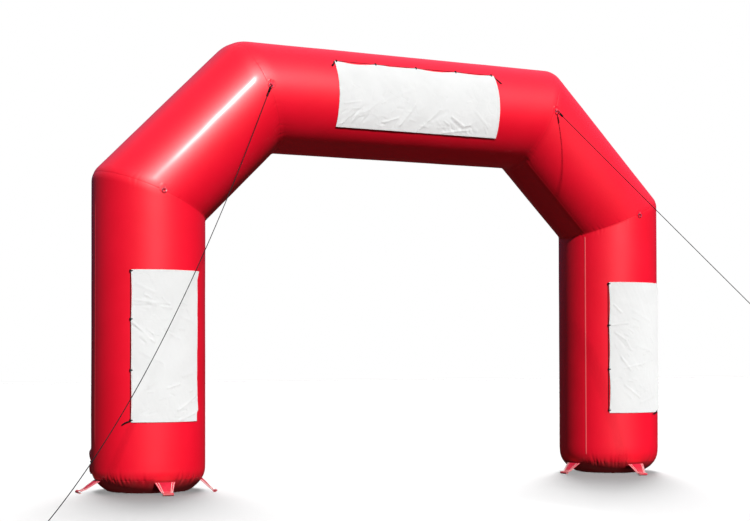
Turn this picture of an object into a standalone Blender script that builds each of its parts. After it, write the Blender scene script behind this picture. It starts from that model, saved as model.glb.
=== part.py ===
"""Inflatable arch: a 1.2 m air tube over a 4.7 m passage, in five mitred lengths, on two domed bases.

Metres, +Z up, +X to the right, the front faces -Y. The origin is on the ground, midway between the legs.
"""

import math
from dataclasses import dataclass

import bmesh
import bpy
from mathutils import Vector

FRONT = Vector((0.0, -1.0, 0.0))
EAST = Vector((1.0, 0.0, 0.0))
UP = Vector((0.0, 0.0, 1.0))
GAP = 0.0003  # between pieces that touch

# ---- the air tube ---------------------------------------------------------
TUBE_RADIUS = 0.600
TUBE_SIDES = 56
LEG_X = 2.950  # each leg's axis, from the middle
KNEE_Z = 3.110  # where the axes of leg and diagonal meet
TOP_Z = 4.270  # axis of the top beam
TOP_X = LEG_X - (TOP_Z - KNEE_Z)  # the diagonals lean 45 degrees
MITRE_SLOPE = math.tan(math.radians(22.5))

KNEE_ROUNDING = {"left": 0.017, "right": 0.012}  # how far a seam's outer side is drawn in
TOP_ROUNDING = {"left": 0.034, "right": 0.015}
ROUNDING_LENGTH = 0.200
SEAM_GROOVE = 0.003
MITRE_STEPS = (0.0, 0.012, 0.060, 0.120, ROUNDING_LENGTH)  # back from the seam

# ---- the legs' hems and the base panels -----------------------------------
BASE_SEAM_Z = 0.140
# (height, radius, gather depth)
LEG_HEM = (
    (BASE_SEAM_Z + GAP, 0.5720, 0.0070),
    (0.162, 0.5830, 0.0055),
    (0.190, 0.5910, 0.0032),
    (0.235, 0.5970, 0.0010),
    (0.300, 0.6000, 0.0),
)
BASE_PANEL = (
    (BASE_SEAM_Z, 0.5715, 0.0070),
    (0.108, 0.5600, 0.0050),
    (0.066, 0.5210, 0.0022),
    (0.030, 0.4760, 0.0),
    (0.009, 0.4420, 0.0),
    (0.0, 0.4200, 0.0),
)
# Share of the gather depth at the corners round the foot. The hem lies flat behind a tab.
GATHERS = (0.0, 0.9, 0.1, 1.0, 0.0, 0.8, 0.1, 1.0, 0.2, 0.9, 0.0, 0.7, 0.1, 0.8)

# ---- anchor tabs ----------------------------------------------------------
TAB_ROOT_Z = (0.1150, 0.1230)  # underside and top, where it is sewn to the base panel
TAB_ROOT_RADIUS = 0.5657
TAB_ROOT_WIDTH = 0.225
TAB_TIP_WIDTH = 0.112
TAB_LOOP_LENGTH = 0.042
TAB_LOOP_LIFT = 0.0006  # off the ground
TAB_THICKNESS = 0.005
# Facets round the leg from the front toward +X, how far out and aside the tip's loop lies, and its height
TABS = {
    "left": (
        (0, 0.800, -0.048, 0.031),
        (10, 0.729, -0.231, 0.021),
        (28, 0.805, 0.0, 0.031),
        (42, 0.775, 0.070, 0.033),
    ),
    "right": (
        (0, 0.815, -0.055, 0.028),
        (18, 0.779, 0.0, 0.031),
        (28, 0.800, 0.0, 0.031),
        (43, 0.775, 0.080, 0.028),
    ),
}

# ---- D rings on their patches ---------------------------------------------
RING_WIRE = 0.006
RING_HALF_WIDTH = 0.021
RING_REACH = 0.037  # from the bar to the far wire
RING_CORNER = 0.007
PATCH_RADIUS = 0.050
PATCH_THICKNESS = 0.002
KEEPER_WIDTH = 0.026
KEEPER_WALL = 0.0026
KEEPER_BORE = 0.0037
KEEPER_FLANGE = 0.026
KNEE_RING_SWING = math.radians(8.0)
# x and z of each ring's bar
RINGS = {
    "knee_left": (-2.976, 3.142),
    "top_left": (-1.785, 4.315),
    "top_right": (1.820, 4.292),
    "knee_right": (3.000, 3.126),
}

# ---- banners --------------------------------------------------------------
CLOTH = 0.0025
CLOTH_CLEARANCE = 0.0050
SCALLOP = 0.016  # how far the laced edge draws in between two ties
FOLD_WIDTH = 0.045
LACING_DIAMETER = 0.007
LACING_OFFSET = 0.011  # from the cloth's edge to the middle of the cord
TIE_DIAMETER = 0.013
TIE_INSET = 0.016  # where a tie ends on the cloth, inside its edge
TAIL_DIAMETER = 0.013
# The right banner's corner tie: (angle from the front in degrees, above the cloth's low end,
# share of the way from the tube to the cloth's face, taper)
CORNER_TIE_DIAMETER = 0.014
CORNER_TIE = (
    (37.8, 0.0160, 1.0, 0.8),
    (35.4, 0.0060, 1.0, 1.0),
    (32.4, -0.0095, 1.0, 1.0),
    (29.6, -0.0165, 0.1, 1.0),
    (27.0, -0.0210, 0.0, 0.7),
)

# ---- guy ropes ------------------------------------------------------------
ROPE_DIAMETER = 0.008
ROPE_POINTS = 24
KNOT_REACH = 0.122  # from the ring's bar to where the rope leaves its knot
KNOT_LOOP = 0.016
EYE_REACH = 0.150  # from the rope's end to the far side of its ground eye
EYE_LOOP = 0.042
# Ground end, sag at half length, and how much lower than half way the sag sits
ROPES = {
    "left": (Vector((-5.0, -3.6, 0.0105)), 0.420, 0.25),
    "right": (Vector((3.4, -4.95, 0.0105)), 0.010, 0.0),
}

# ---- blower sleeve behind the left leg ------------------------------------
SLEEVE_TURN = math.radians(145.0)  # from the front, toward the outer side
SLEEVE_SIDES = 16
# (out from the leg's axis, height, radius, tilt of the ring from upright in degrees)
SLEEVE = (
    (0.6008, 0.345, 0.125, 0.0),
    (0.6500, 0.345, 0.125, 6.0),
    (0.7000, 0.340, 0.108, 20.0),
    (0.7300, 0.315, 0.062, 45.0),
    (0.7380, 0.285, 0.034, 70.0),
    (0.7380, 0.262, 0.034, 85.0),
    (0.7340, 0.238, 0.050, 92.0),
    (0.7220, 0.185, 0.058, 98.0),
    (0.7130, 0.152, 0.052, 100.0),
)
SLEEVE_TIE = (0.7385, 0.2735, 0.0392, 78.0)
SLEEVE_TIE_CORD = 0.004

RED = (0.78, 0.004, 0.020)
PINK = (0.90, 0.35, 0.36)
WHITE = (0.92, 0.92, 0.90)
BLACK = (0.012, 0.012, 0.013)
STEEL = (0.62, 0.61, 0.60)


@dataclass(frozen=True)
class Wall:
    """One straight length of tube, its axis along from start. turn is a quarter on from the front."""

    start: Vector
    along: Vector
    turn: Vector

    def spot(self, angle, distance, radius):
        """The point this far round from the front, along the axis, and out from it."""
        out = FRONT * math.cos(angle) + self.turn * math.sin(angle)
        return self.start + self.along * distance + out * radius


LEG_WALLS = {
    "left": Wall(EAST * -LEG_X, UP, -EAST),
    "right": Wall(EAST * LEG_X, UP, EAST),
}
BEAM_WALL = Wall(UP * TOP_Z, EAST, UP)


@dataclass(frozen=True)
class Banner:
    """A sheet laced to the tube along one edge. Angles are from the front, in degrees."""

    wall: Wall
    laced: float  # angle of the laced edge
    free: float  # angle of the edge opposite
    low: float  # along the axis
    high: float
    ties: tuple  # along the axis, on the laced edge
    stand_off: float  # how far the free edge stands off the tube
    folds: tuple  # (across, along, across, along, height), in metres from the laced edge and low end
    columns: int
    rows: int

    def across(self):
        return abs(math.radians(self.free - self.laced)) * TUBE_RADIUS

    def angle(self, share, distance):
        """Angle at this share of the way from the laced edge to the free one."""
        laced, free = math.radians(self.laced), math.radians(self.free)
        drawn_in = SCALLOP * self.between_ties(distance) * max(0.0, 1 - share / 0.2) ** 2
        return laced + (free - laced) * (share + drawn_in / self.across())

    def between_ties(self, distance):
        """0 at a tie and past the last one, 1 midway between two."""
        for first, second in zip(self.ties, self.ties[1:]):
            if first <= distance <= second:
                return math.sin(math.pi * (distance - first) / (second - first))
        return 0.0

    def lift(self, share, distance):
        """How far the folds and the free edge hold the sheet off the tube."""
        height = self.stand_off * max(0.0, (share - 0.78) / 0.22) ** 2
        here = Vector((share * self.across(), distance - self.low))
        for x0, y0, x1, y1, rise in self.folds:
            first, run = Vector((x0, y0)), Vector((x1 - x0, y1 - y0))
            place = min(1.0, max(0.0, (here - first).dot(run) / run.length_squared))
            off = (here - first - run * place).length / FOLD_WIDTH
            height = max(height, rise * math.exp(-off * off))
        return height

    def spot(self, share, distance, above=0.0):
        radius = TUBE_RADIUS + CLOTH_CLEARANCE + self.lift(share, distance) + above
        return self.wall.spot(self.angle(share, distance), distance, radius)


BANNERS = {
    "left": Banner(
        LEG_WALLS["left"],
        34.6,
        -41.5,
        0.740,
        2.308,
        (0.762, 1.274, 1.799, 2.294),
        0.004,
        (
            (0.05, 0.96, 0.22, 0.78, 0.011),
            (0.06, 1.20, 0.40, 1.17, 0.008),
            (0.46, 0.10, 0.68, 0.19, 0.008),
            (0.34, 0.32, 0.52, 0.37, 0.007),
        ),
        15,
        14,
    ),
    "top": Banner(
        BEAM_WALL,
        40.3,
        -34.0,
        -0.984,
        1.047,
        (-0.958, -0.477, 0.030, 0.543, 1.016),
        0.003,
        (
            (0.72, 0.06, 0.52, 0.20, 0.008),
            (0.66, 0.60, 0.36, 0.78, 0.009),
            (0.66, 0.90, 0.38, 1.12, 0.007),
            (0.62, 1.30, 0.66, 1.62, 0.010),
        ),
        11,
        20,
    ),
    "right": Banner(
        LEG_WALLS["right"],
        -33.5,
        43.5,
        0.735,
        2.302,
        (0.767, 1.257, 1.784, 2.283),
        0.012,
        (
            (0.06, 1.10, 0.24, 0.94, 0.010),
            (0.12, 0.80, 0.24, 0.62, 0.009),
            (0.16, 0.42, 0.46, 0.30, 0.008),
            (0.10, 1.34, 0.40, 1.30, 0.007),
        ),
        15,
        14,
    ),
}


# ---- materials and meshes --------------------------------------------------
def material(name, colour, roughness, metallic=0.0):
    made = bpy.data.materials.new(name)
    made.use_nodes = True
    shader = made.node_tree.nodes["Principled BSDF"]
    shader.inputs["Base Color"].default_value = (*colour, 1.0)
    shader.inputs["Roughness"].default_value = roughness
    shader.inputs["Metallic"].default_value = metallic
    return made


def add_mesh(name, points, faces, finish, sharp_degrees=35.0):
    """One object from points and faces, its faces turned outward and its round sides smooth."""
    mesh = bpy.data.meshes.new(name)
    mesh.from_pydata(points, [], faces)
    shape = bmesh.new()
    shape.from_mesh(mesh)
    bmesh.ops.recalc_face_normals(shape, faces=shape.faces)
    shape.to_mesh(mesh)
    shape.free()
    mesh.shade_smooth()
    mesh.set_sharp_from_angle(angle=math.radians(sharp_degrees))
    mesh.materials.append(finish)
    made = bpy.data.objects.new(name, mesh)
    bpy.context.scene.collection.objects.link(made)
    return made


def skin(rings, first_centre=None, last_centre=None):
    """(points, faces) of a closed body through equal rings, each end flat or drawn to a centre."""
    count = len(rings[0])
    points = [point for ring in rings for point in ring]
    faces = []
    for row in range(len(rings) - 1):
        for k in range(count):
            here, beside = row * count + k, row * count + (k + 1) % count
            faces.append((here, beside, beside + count, here + count))
    for centre, first in ((first_centre, 0), (last_centre, (len(rings) - 1) * count)):
        ring = range(first, first + count)
        if centre is None:
            faces.append(tuple(ring))
        else:
            points.append(centre)
            faces.extend((ring[k], ring[(k + 1) % count], len(points) - 1) for k in range(count))
    return points, faces


def add_wire(name, points, diameter, finish, cyclic=False, taper=None):
    """A round cord or wire along the points, with its ends filled."""
    curve = bpy.data.curves.new(name, "CURVE")
    curve.dimensions = "3D"
    curve.bevel_depth = diameter / 2
    curve.bevel_resolution = 2
    curve.use_fill_caps = True
    line = curve.splines.new("POLY")
    line.points.add(len(points) - 1)
    for k, point in enumerate(points):
        line.points[k].co = (*point, 1.0)
        line.points[k].radius = taper[k] if taper else 1.0
    line.use_cyclic_u = cyclic
    curve.materials.append(finish)
    made = bpy.data.objects.new(name, curve)
    bpy.context.scene.collection.objects.link(made)
    return made


def unite(body, other):
    """Joins the other object into the body as one solid."""
    join = body.modifiers.new("Union", "BOOLEAN")
    join.operation = "UNION"
    join.solver = "EXACT"
    join.object = other
    other.hide_render = True
    other.display_type = "WIRE"


# ---- the air tube ----------------------------------------------------------
def corner_angles():
    step = math.tau / TUBE_SIDES
    return [step * (k + 0.5) for k in range(TUBE_SIDES)]


def surface_radius(angle):
    """The faceted tube's radius this far round from the front."""
    step = math.tau / TUBE_SIDES
    return TUBE_RADIUS * math.cos(step / 2) / math.cos(angle - round(angle / step) * step)


def mitred_rings(wall, seam_at, rounding, toward):
    """Rings from the seam back along the tube. toward is 1 at the wall's far end, -1 at its start."""
    rings = []
    for back in MITRE_STEPS:
        ring = []
        for angle in corner_angles():
            drawn_in = rounding * max(0.0, math.sin(angle)) ** 2
            radius = TUBE_RADIUS - drawn_in * (1 - back / ROUNDING_LENGTH) ** 2
            if back == 0.0:
                radius -= SEAM_GROOVE
            reach = radius * math.sin(angle) * MITRE_SLOPE - GAP - back
            ring.append(wall.spot(angle, seam_at + toward * reach, radius))
        rings.append(ring)
    return rings


def gather_share(side, corner):
    """How much of the gather depth this corner has: none behind a tab."""
    facing = -1 if side == "left" else 1
    for tab in TABS[side]:
        away = (corner + 0.5 - facing * tab[0]) % TUBE_SIDES
        if min(away, TUBE_SIDES - away) < 2.0:
            return 0.0
    return GATHERS[corner % len(GATHERS)]


def hem_rings(side, profile):
    """Rings up or down a leg's foot, gathered by the depth in each row."""
    rings = []
    for height, radius, depth in profile:
        drawn = [radius - depth * gather_share(side, k) for k in range(TUBE_SIDES)]
        rings.append([LEG_WALLS[side].spot(a, height, r) for a, r in zip(corner_angles(), drawn)])
    return rings


def build_tube(red):
    for side, wall in LEG_WALLS.items():
        seam = mitred_rings(wall, KNEE_Z, KNEE_ROUNDING[side], 1)
        add_mesh(f"leg_{side}", *skin(hem_rings(side, LEG_HEM) + seam[::-1]), red)
        add_mesh(f"base_{side}", *skin(hem_rings(side, BASE_PANEL)), red)

        knee = wall.start + UP * KNEE_Z
        lean = (UP - wall.turn).normalized()
        slope = Wall(knee, lean, (UP + wall.turn).normalized())
        length = (TOP_Z - KNEE_Z) * math.sqrt(2)
        low = mitred_rings(slope, 0.0, KNEE_ROUNDING[side], -1)
        high = mitred_rings(slope, length, TOP_ROUNDING[side], 1)
        add_mesh(f"diagonal_{side}", *skin(low + high[::-1]), red)
    first = mitred_rings(BEAM_WALL, -TOP_X, TOP_ROUNDING["left"], -1)
    last = mitred_rings(BEAM_WALL, TOP_X, TOP_ROUNDING["right"], 1)
    add_mesh("top_beam", *skin(first + last[::-1]), red)


# ---- straps that end in a loop ---------------------------------------------
def looped_strap(stations, centre, outer, inner, sides=8):
    """Side view of a strap that ends in a loop, as (outline points, quads), the loop's rings first.

    stations are (out, underside, top) from the loop back to the root. The loop's first quad faces the root.
    """
    turns = [math.pi - math.pi / sides + math.tau * k / sides for k in range(sides)]
    rings = []
    for half in (outer, inner):
        across, up = half
        rings += [(centre[0] + across * math.cos(t), centre[1] + up * math.sin(t)) for t in turns]
    # ring points 0 and 1 face the root: 0 is the upper one
    quads = [(k, (k + 1) % sides, sides + (k + 1) % sides, sides + k) for k in range(sides)]
    points = list(rings)
    top, under = 0, 1
    for out, low, high in stations:
        points += [(out, high), (out, low)]
        quads.append((top, len(points) - 2, len(points) - 1, under))
        top, under = len(points) - 2, len(points) - 1
    return points, quads


def extrude_strap(points, quads, places):
    """(points, faces) of the side view repeated at each place across the strap, and closed."""
    count = len(points)
    solid = [place(out, up) for place in places for out, up in points]
    edges = {}
    for quad in quads:
        for k in range(4):
            edge = (quad[k], quad[(k + 1) % 4])
            edges[tuple(sorted(edge))] = None if tuple(sorted(edge)) in edges else edge
    faces = [tuple(quad) for quad in quads]
    faces += [tuple(k + count * (len(places) - 1) for k in reversed(quad)) for quad in quads]
    for column in range(len(places) - 1):
        low, high = column * count, (column + 1) * count
        for edge in filter(None, edges.values()):
            faces.append((low + edge[0], low + edge[1], high + edge[1], high + edge[0]))
    return solid, faces


def tab_place(start, turn, loop_out, root_angle, shift):
    """Places a tab's side view at one angle across its root."""
    out = Vector((math.sin(turn), -math.cos(turn), 0.0))
    aside = Vector((math.cos(turn), math.sin(turn), 0.0))
    tip_start = loop_out - TAB_LOOP_LENGTH / 2

    def place(reach, height):
        share = min(1.0, max(0.0, (reach - TAB_ROOT_RADIUS) / (tip_start - TAB_ROOT_RADIUS)))
        narrowing = 1 + (TAB_TIP_WIDTH / TAB_ROOT_WIDTH - 1) * share
        bow = TAB_ROOT_RADIUS * (math.cos(root_angle) - 1) * (1 - share)
        sideways = TAB_ROOT_RADIUS * math.sin(root_angle) * narrowing + shift * share
        return start + out * (reach + bow) + aside * sideways + UP * height

    return place


def build_tabs(red):
    half_angle = math.asin(TAB_ROOT_WIDTH / 2 / TAB_ROOT_RADIUS)
    step = math.tau / TUBE_SIDES
    angles = (-half_angle, -1.5 * step, -0.5 * step, 0.5 * step, 1.5 * step, half_angle)
    low, high = TAB_ROOT_Z
    for side, wall in LEG_WALLS.items():
        for number, (facets, loop_out, shift, loop_height) in enumerate(TABS[side]):
            outer = (TAB_LOOP_LENGTH / 2, loop_height / 2)
            inner = tuple(half - TAB_THICKNESS for half in outer)
            run = loop_out - outer[0] - TAB_ROOT_RADIUS
            stations = (
                (TAB_ROOT_RADIUS + run * 0.72, 0.0420, 0.0470),
                (TAB_ROOT_RADIUS + run * 0.30, 0.0880, 0.0935),
                (TAB_ROOT_RADIUS, low, high),
            )
            centre = (loop_out, TAB_LOOP_LIFT + outer[1] * math.cos(math.pi / 8))
            points, quads = looped_strap(stations, centre, outer, inner)
            places = [tab_place(wall.start, facets * step, loop_out, a, shift) for a in angles]
            add_mesh(f"anchor_tab_{side}_{number}", *extrude_strap(points, quads, places), red)


# ---- D rings and guy ropes -------------------------------------------------
def rope_point(side, share):
    """A point on the guy rope's line, from its ring's bar to its ground end."""
    x, z = RINGS[f"top_{side}"]
    end, sag, low = ROPES[side]
    start = Vector((x, bar_depth(), z))
    drop = 4 * sag * share * (1 - share) * (1 + low * (share - 0.5))
    return start.lerp(end, share) - UP * drop


def share_at(side, reach, from_end=False):
    """The share of the way along the rope's line at this distance from one of its ends."""
    end = rope_point(side, float(from_end))
    near, far = (1.0, 0.5) if from_end else (0.0, 0.5)
    for _ in range(40):
        middle = (near + far) / 2
        inside = (rope_point(side, middle) - end).length < reach
        near, far = (middle, far) if inside else (near, middle)
    return near


def bar_depth():
    """y of a ring's bar, in its keeper on its patch on the front facet."""
    return -(surface_radius(0.0) + GAP + PATCH_THICKNESS + GAP + KEEPER_BORE + KEEPER_WALL)


def ring_outline():
    """Points round a D: (across, down from the bar)."""
    half, corner = RING_HALF_WIDTH, RING_CORNER
    arc = [math.pi / 2 * k / 3 for k in range(4)]
    right = [(half - corner + corner * math.sin(t), corner - corner * math.cos(t)) for t in arc]
    bow = [math.pi * k / 8 for k in range(9)]
    rise = RING_REACH - half
    round_end = [(half * math.cos(t), rise + half * math.sin(t)) for t in bow]
    left = [(-x, y) for x, y in reversed(right)]
    return right + round_end + left


def build_ring(name, hang, steel, red):
    """A patch on the front facet, a keeper across it, and the D ring hanging that way from its bar."""
    x, z = RINGS[name]
    bar = Vector((x, bar_depth(), z))
    across = hang.cross(FRONT).normalized()
    down = FRONT.cross(across)

    face = bar - FRONT * (KEEPER_BORE + KEEPER_WALL + GAP)
    turns = [math.tau * k / 20 for k in range(20)]
    rim = [across * math.cos(t) + down * math.sin(t) for t in turns]
    middle = face + down * -KEEPER_FLANGE * 0.4
    depths = (PATCH_THICKNESS, 0.0)
    rings = [[middle + r * PATCH_RADIUS - FRONT * deep for r in rim] for deep in depths]
    add_mesh(f"ring_patch_{name}", *skin(rings), red)

    outer = (KEEPER_BORE + KEEPER_WALL,) * 2
    floor = -outer[1] * math.cos(math.pi / 8)
    stations = [(-out, floor, floor + KEEPER_WALL) for out in (outer[0] + 0.006, KEEPER_FLANGE)]
    points, quads = looped_strap(stations, (0.0, 0.0), outer, (KEEPER_BORE,) * 2)

    def place_at(offset):
        return lambda out, up: bar + across * offset + down * out + FRONT * up

    places = [place_at(-KEEPER_WIDTH / 2), place_at(KEEPER_WIDTH / 2)]
    add_mesh(f"ring_keeper_{name}", *extrude_strap(points, quads, places), red)

    outline = [bar + across * u + hang * v for u, v in ring_outline()]
    add_wire(f"d_ring_{name}", outline, RING_WIRE, steel, cyclic=True)


def add_knot(name, hook, direction, aside, loop_radius, reach, black):
    """A loop round a bar that lies aside at hook, whipped into a barrel that ends at this reach."""
    cord = ROPE_DIAMETER
    level = aside.cross(direction)
    centre = hook + direction * (loop_radius - cord / 2 - RING_WIRE / 2 - GAP)
    turns = [math.tau * k / 14 for k in range(14)]
    loop = [centre + (direction * math.cos(t) + level * math.sin(t)) * loop_radius for t in turns]
    barrel_start = centre + direction * (loop_radius - cord * 0.4)
    length = reach - (barrel_start - hook).length
    rings = []
    for share, radius in ((0.0, 0.55), (0.12, 1.0), (0.88, 1.0), (1.0, 0.6)):
        middle = barrel_start + direction * length * share
        rim = [math.tau * (k + 0.5) / 10 for k in range(10)]
        size = radius * cord * 1.7
        rings.append([middle + (aside * math.cos(t) + level * math.sin(t)) * size for t in rim])
    barrel = add_mesh(name, *skin(rings), black)
    unite(barrel, as_mesh(add_wire(f"{name}_loop", loop, cord, black, cyclic=True)))


def as_mesh(wire):
    """The same object with its curve turned into a mesh."""
    graph = bpy.context.evaluated_depsgraph_get()
    mesh = bpy.data.meshes.new_from_object(wire.evaluated_get(graph))
    made = bpy.data.objects.new(f"{wire.name}_mesh", mesh)
    bpy.context.scene.collection.objects.link(made)
    bpy.data.objects.remove(wire)
    return made


def build_rings_and_ropes(steel, red, black):
    for side in ("left", "right"):
        hang = Vector((0.0, -math.sin(KNEE_RING_SWING), -math.cos(KNEE_RING_SWING)))
        build_ring(f"knee_{side}", hang, steel, red)

        first, last = share_at(side, KNOT_REACH), share_at(side, EYE_REACH, from_end=True)
        bar, start = rope_point(side, 0.0), rope_point(side, first)
        leave, arrive = rope_point(side, last), rope_point(side, 1.0)
        pull = (start - bar).normalized()
        build_ring(f"top_{side}", pull, steel, red)
        hook, reach = bar + pull * RING_REACH, KNOT_REACH - RING_REACH - GAP
        add_knot(f"rope_knot_{side}", hook, pull, pull.cross(FRONT).normalized(), KNOT_LOOP, reach, black)
        back = (leave - arrive).normalized()
        upward = back.cross(UP).cross(back).normalized()
        add_knot(f"rope_end_{side}", arrive, back, upward, EYE_LOOP, EYE_REACH - GAP, black)
        shares = [first + (last - first) * k / (ROPE_POINTS - 1) for k in range(ROPE_POINTS)]
        add_wire(f"guy_rope_{side}", [rope_point(side, s) for s in shares], ROPE_DIAMETER, black)


# ---- banners and their lacing ----------------------------------------------
def build_banner(name, banner, white):
    shares = [k / banner.columns for k in range(banner.columns + 1)]
    length = banner.high - banner.low
    rows = [banner.low + length * k / banner.rows for k in range(banner.rows + 1)]
    points = [banner.spot(s, d, above) for above in (0.0, CLOTH) for d in rows for s in shares]
    width = len(shares)
    layer = width * len(rows)
    faces = []
    for r in range(banner.rows):
        for c in range(banner.columns):
            quad = [r * width + c, r * width + c + 1, (r + 1) * width + c + 1, (r + 1) * width + c]
            faces += [tuple(quad), tuple(k + layer for k in reversed(quad))]
    rim = list(range(banner.columns))
    rim += [r * width + banner.columns for r in range(banner.rows)]
    rim += [banner.rows * width + c for c in range(banner.columns, 0, -1)]
    rim += [r * width for r in range(banner.rows, 0, -1)]
    for here, beyond in zip(rim, rim[1:] + rim[:1]):
        faces.append((here, beyond, beyond + layer, here + layer))
    add_mesh(f"banner_{name}", points, faces, white, 60.0)


def build_lacing(name, banner, black):
    """The cord beside the laced edge, and a short tie from it over the cloth at each eyelet."""
    outward = math.copysign(1.0, banner.laced - banner.free)
    edge = math.radians(banner.laced)
    beside = edge + outward * LACING_OFFSET / TUBE_RADIUS
    bed = surface_radius(beside)
    cord_radius = bed + GAP + LACING_DIAMETER / 2
    ends = (banner.ties[0] - 0.012, banner.ties[-1] + 0.012)
    line = [banner.wall.spot(beside, d, cord_radius) for d in ends]
    add_wire(f"lacing_{name}", line, LACING_DIAMETER, black)

    half = TIE_DIAMETER / 2
    over_cord = bed + GAP + LACING_DIAMETER + GAP + half
    for k, distance in enumerate(banner.ties):
        on_cloth = banner.spot(TIE_INSET / banner.across(), distance, CLOTH + GAP + half)
        landing = (on_cloth - banner.wall.spot(0.0, distance, 0.0)).length
        stations = (
            (outward * (LACING_OFFSET + 0.010), over_cord, 0.55),
            (outward * LACING_OFFSET, over_cord, 1.0),
            (-outward * TIE_INSET * 0.4, max(over_cord, landing) + 0.0008, 1.0),
            (-outward * TIE_INSET, landing + 0.0004, 0.6),
        )
        points = [banner.wall.spot(edge + a / TUBE_RADIUS, distance, r) for a, r, _ in stations]
        add_wire(f"tie_{name}_{k}", points, TIE_DIAMETER, black, taper=[t for _, _, t in stations])


def build_corner_tie(name, banner, black):
    """A tie through the cloth's low free corner, over its edge and down to the tube."""
    points = []
    for degrees, up, share, taper in CORNER_TIE:
        across = (degrees - banner.laced) / (banner.free - banner.laced)
        half = taper * CORNER_TIE_DIAMETER / 2
        cloth = TUBE_RADIUS + CLOTH_CLEARANCE + banner.lift(across, banner.low + max(up, 0.0)) + CLOTH
        on_cloth, on_tube = cloth + 2 * GAP + half, TUBE_RADIUS + 2 * GAP + half
        radius = on_tube + (on_cloth - on_tube) * share
        points.append(banner.wall.spot(math.radians(degrees), banner.low + up, radius))
    add_wire(name, points, CORNER_TIE_DIAMETER, black, taper=[row[3] for row in CORNER_TIE])


def build_tail(name, wall, route, black):
    """A loose end that lies on the tube: (angle from the front in degrees, along the axis, taper)."""
    points = []
    for degrees, distance, taper in route:
        angle = math.radians(degrees)
        points.append(wall.spot(angle, distance, TUBE_RADIUS + 2 * GAP + taper * TAIL_DIAMETER / 2))
    add_wire(name, points, TAIL_DIAMETER, black, taper=[row[2] for row in route])


def build_tails(black):
    ties = BANNERS["left"].ties
    route = (
        (37.4, ties[0] - 0.0145, 0.9),
        (39.2, ties[0] - 0.020, 1.1),
        (41.6, ties[0] - 0.031, 1.1),
        (44.2, ties[0] - 0.050, 0.9),
    )
    build_tail("lacing_tail_left", LEG_WALLS["left"], route, black)
    low, high = BANNERS["top"].ties[0], BANNERS["top"].ties[-1]
    route = ((41.4, low - 0.024, 0.9), (41.8, low - 0.050, 1.0), (41.0, low - 0.074, 0.8))
    build_tail("lacing_tail_top_low", BEAM_WALL, route, black)
    route = ((41.4, high + 0.024, 0.6), (40.0, high + 0.050, 0.5), (36.6, high + 0.086, 0.5))
    build_tail("lacing_tail_top_high", BEAM_WALL, route, black)


# ---- blower sleeve ---------------------------------------------------------
def sleeve_ring(reach, height, radius, tilt, sides):
    """A ring of the sleeve. At no tilt it stands upright, facing out from the leg."""
    wall = LEG_WALLS["left"]
    out = FRONT * math.cos(SLEEVE_TURN) + wall.turn * math.sin(SLEEVE_TURN)
    aside = out.cross(UP)
    lean = math.radians(tilt)
    level = UP * math.cos(lean) + out * math.sin(lean)
    middle = wall.start + out * reach + UP * height
    turns = [math.tau * k / sides for k in range(sides)]
    return middle, [middle + (aside * math.cos(t) + level * math.sin(t)) * radius for t in turns]


def build_sleeve(red, black):
    rings = []
    for k, (reach, height, radius, tilt) in enumerate(SLEEVE):
        middle, ring = sleeve_ring(reach, height, radius, tilt, SLEEVE_SIDES)
        if k == 0:
            ring = [on_wall(point, reach) for point in ring]
        rings.append(ring)
    inward, _ = sleeve_ring(SLEEVE[0][0] + 0.020, *SLEEVE[0][1:3], 0.0, SLEEVE_SIDES)
    add_mesh("air_sleeve", *skin(rings, first_centre=inward), red, 60.0)
    _, ring = sleeve_ring(*SLEEVE_TIE, 16)
    add_wire("sleeve_tie", ring, SLEEVE_TIE_CORD * 2, black, cyclic=True)


def on_wall(point, radius):
    """The point drawn in or out level to this radius about the left leg's axis."""
    start = LEG_WALLS["left"].start
    flat = Vector((point.x - start.x, point.y - start.y, 0.0)).normalized()
    return start + flat * radius + UP * point.z


def main():
    for old in list(bpy.data.objects):
        bpy.data.objects.remove(old)
    red = material("red_pvc", RED, 0.22)
    white = material("white_banner", WHITE, 0.55)
    black = material("black_cord", BLACK, 0.60)
    steel = material("zinc_steel", STEEL, 0.35, metallic=1.0)
    build_tube(red)
    build_tabs(red)
    build_rings_and_ropes(steel, red, black)
    for name, banner in BANNERS.items():
        build_banner(name, banner, white)
        build_lacing(name, banner, black)
    build_corner_tie("tie_right_4", BANNERS["right"], black)
    build_tails(black)
    build_sleeve(red, black)


if __name__ == "__main__":
    main()
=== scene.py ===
"""The inflatable arch, dressed: coated cloth skins, laced banners, anchor tabs, D rings and guy ropes.

Metres, +Z up, +X to the right, the front faces -Y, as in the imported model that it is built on.
"""

import logging
import math
import random
from dataclasses import dataclass, field
from enum import Enum
from typing import Callable, Iterable, Sequence

import bmesh
import bpy
import numpy as np
from mathutils import Matrix, Vector


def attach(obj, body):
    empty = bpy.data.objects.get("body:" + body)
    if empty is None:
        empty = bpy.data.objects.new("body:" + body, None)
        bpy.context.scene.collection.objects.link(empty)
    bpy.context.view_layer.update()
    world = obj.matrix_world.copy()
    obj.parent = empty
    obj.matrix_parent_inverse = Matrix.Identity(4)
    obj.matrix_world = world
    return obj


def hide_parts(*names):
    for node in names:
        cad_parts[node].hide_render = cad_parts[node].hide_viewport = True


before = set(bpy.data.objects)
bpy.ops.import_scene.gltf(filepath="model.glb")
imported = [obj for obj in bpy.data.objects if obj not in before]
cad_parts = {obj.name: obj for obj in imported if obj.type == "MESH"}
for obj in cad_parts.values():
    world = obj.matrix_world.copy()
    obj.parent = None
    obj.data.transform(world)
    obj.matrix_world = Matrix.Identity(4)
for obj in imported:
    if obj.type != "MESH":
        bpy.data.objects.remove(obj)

LOG = logging.getLogger("inflatable_arch")

Point = tuple[float, float, float]
Colour = tuple[float, float, float, float]
Socket = bpy.types.NodeSocket
Thing = bpy.types.Object
Material = bpy.types.Material
Array = np.ndarray

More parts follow.
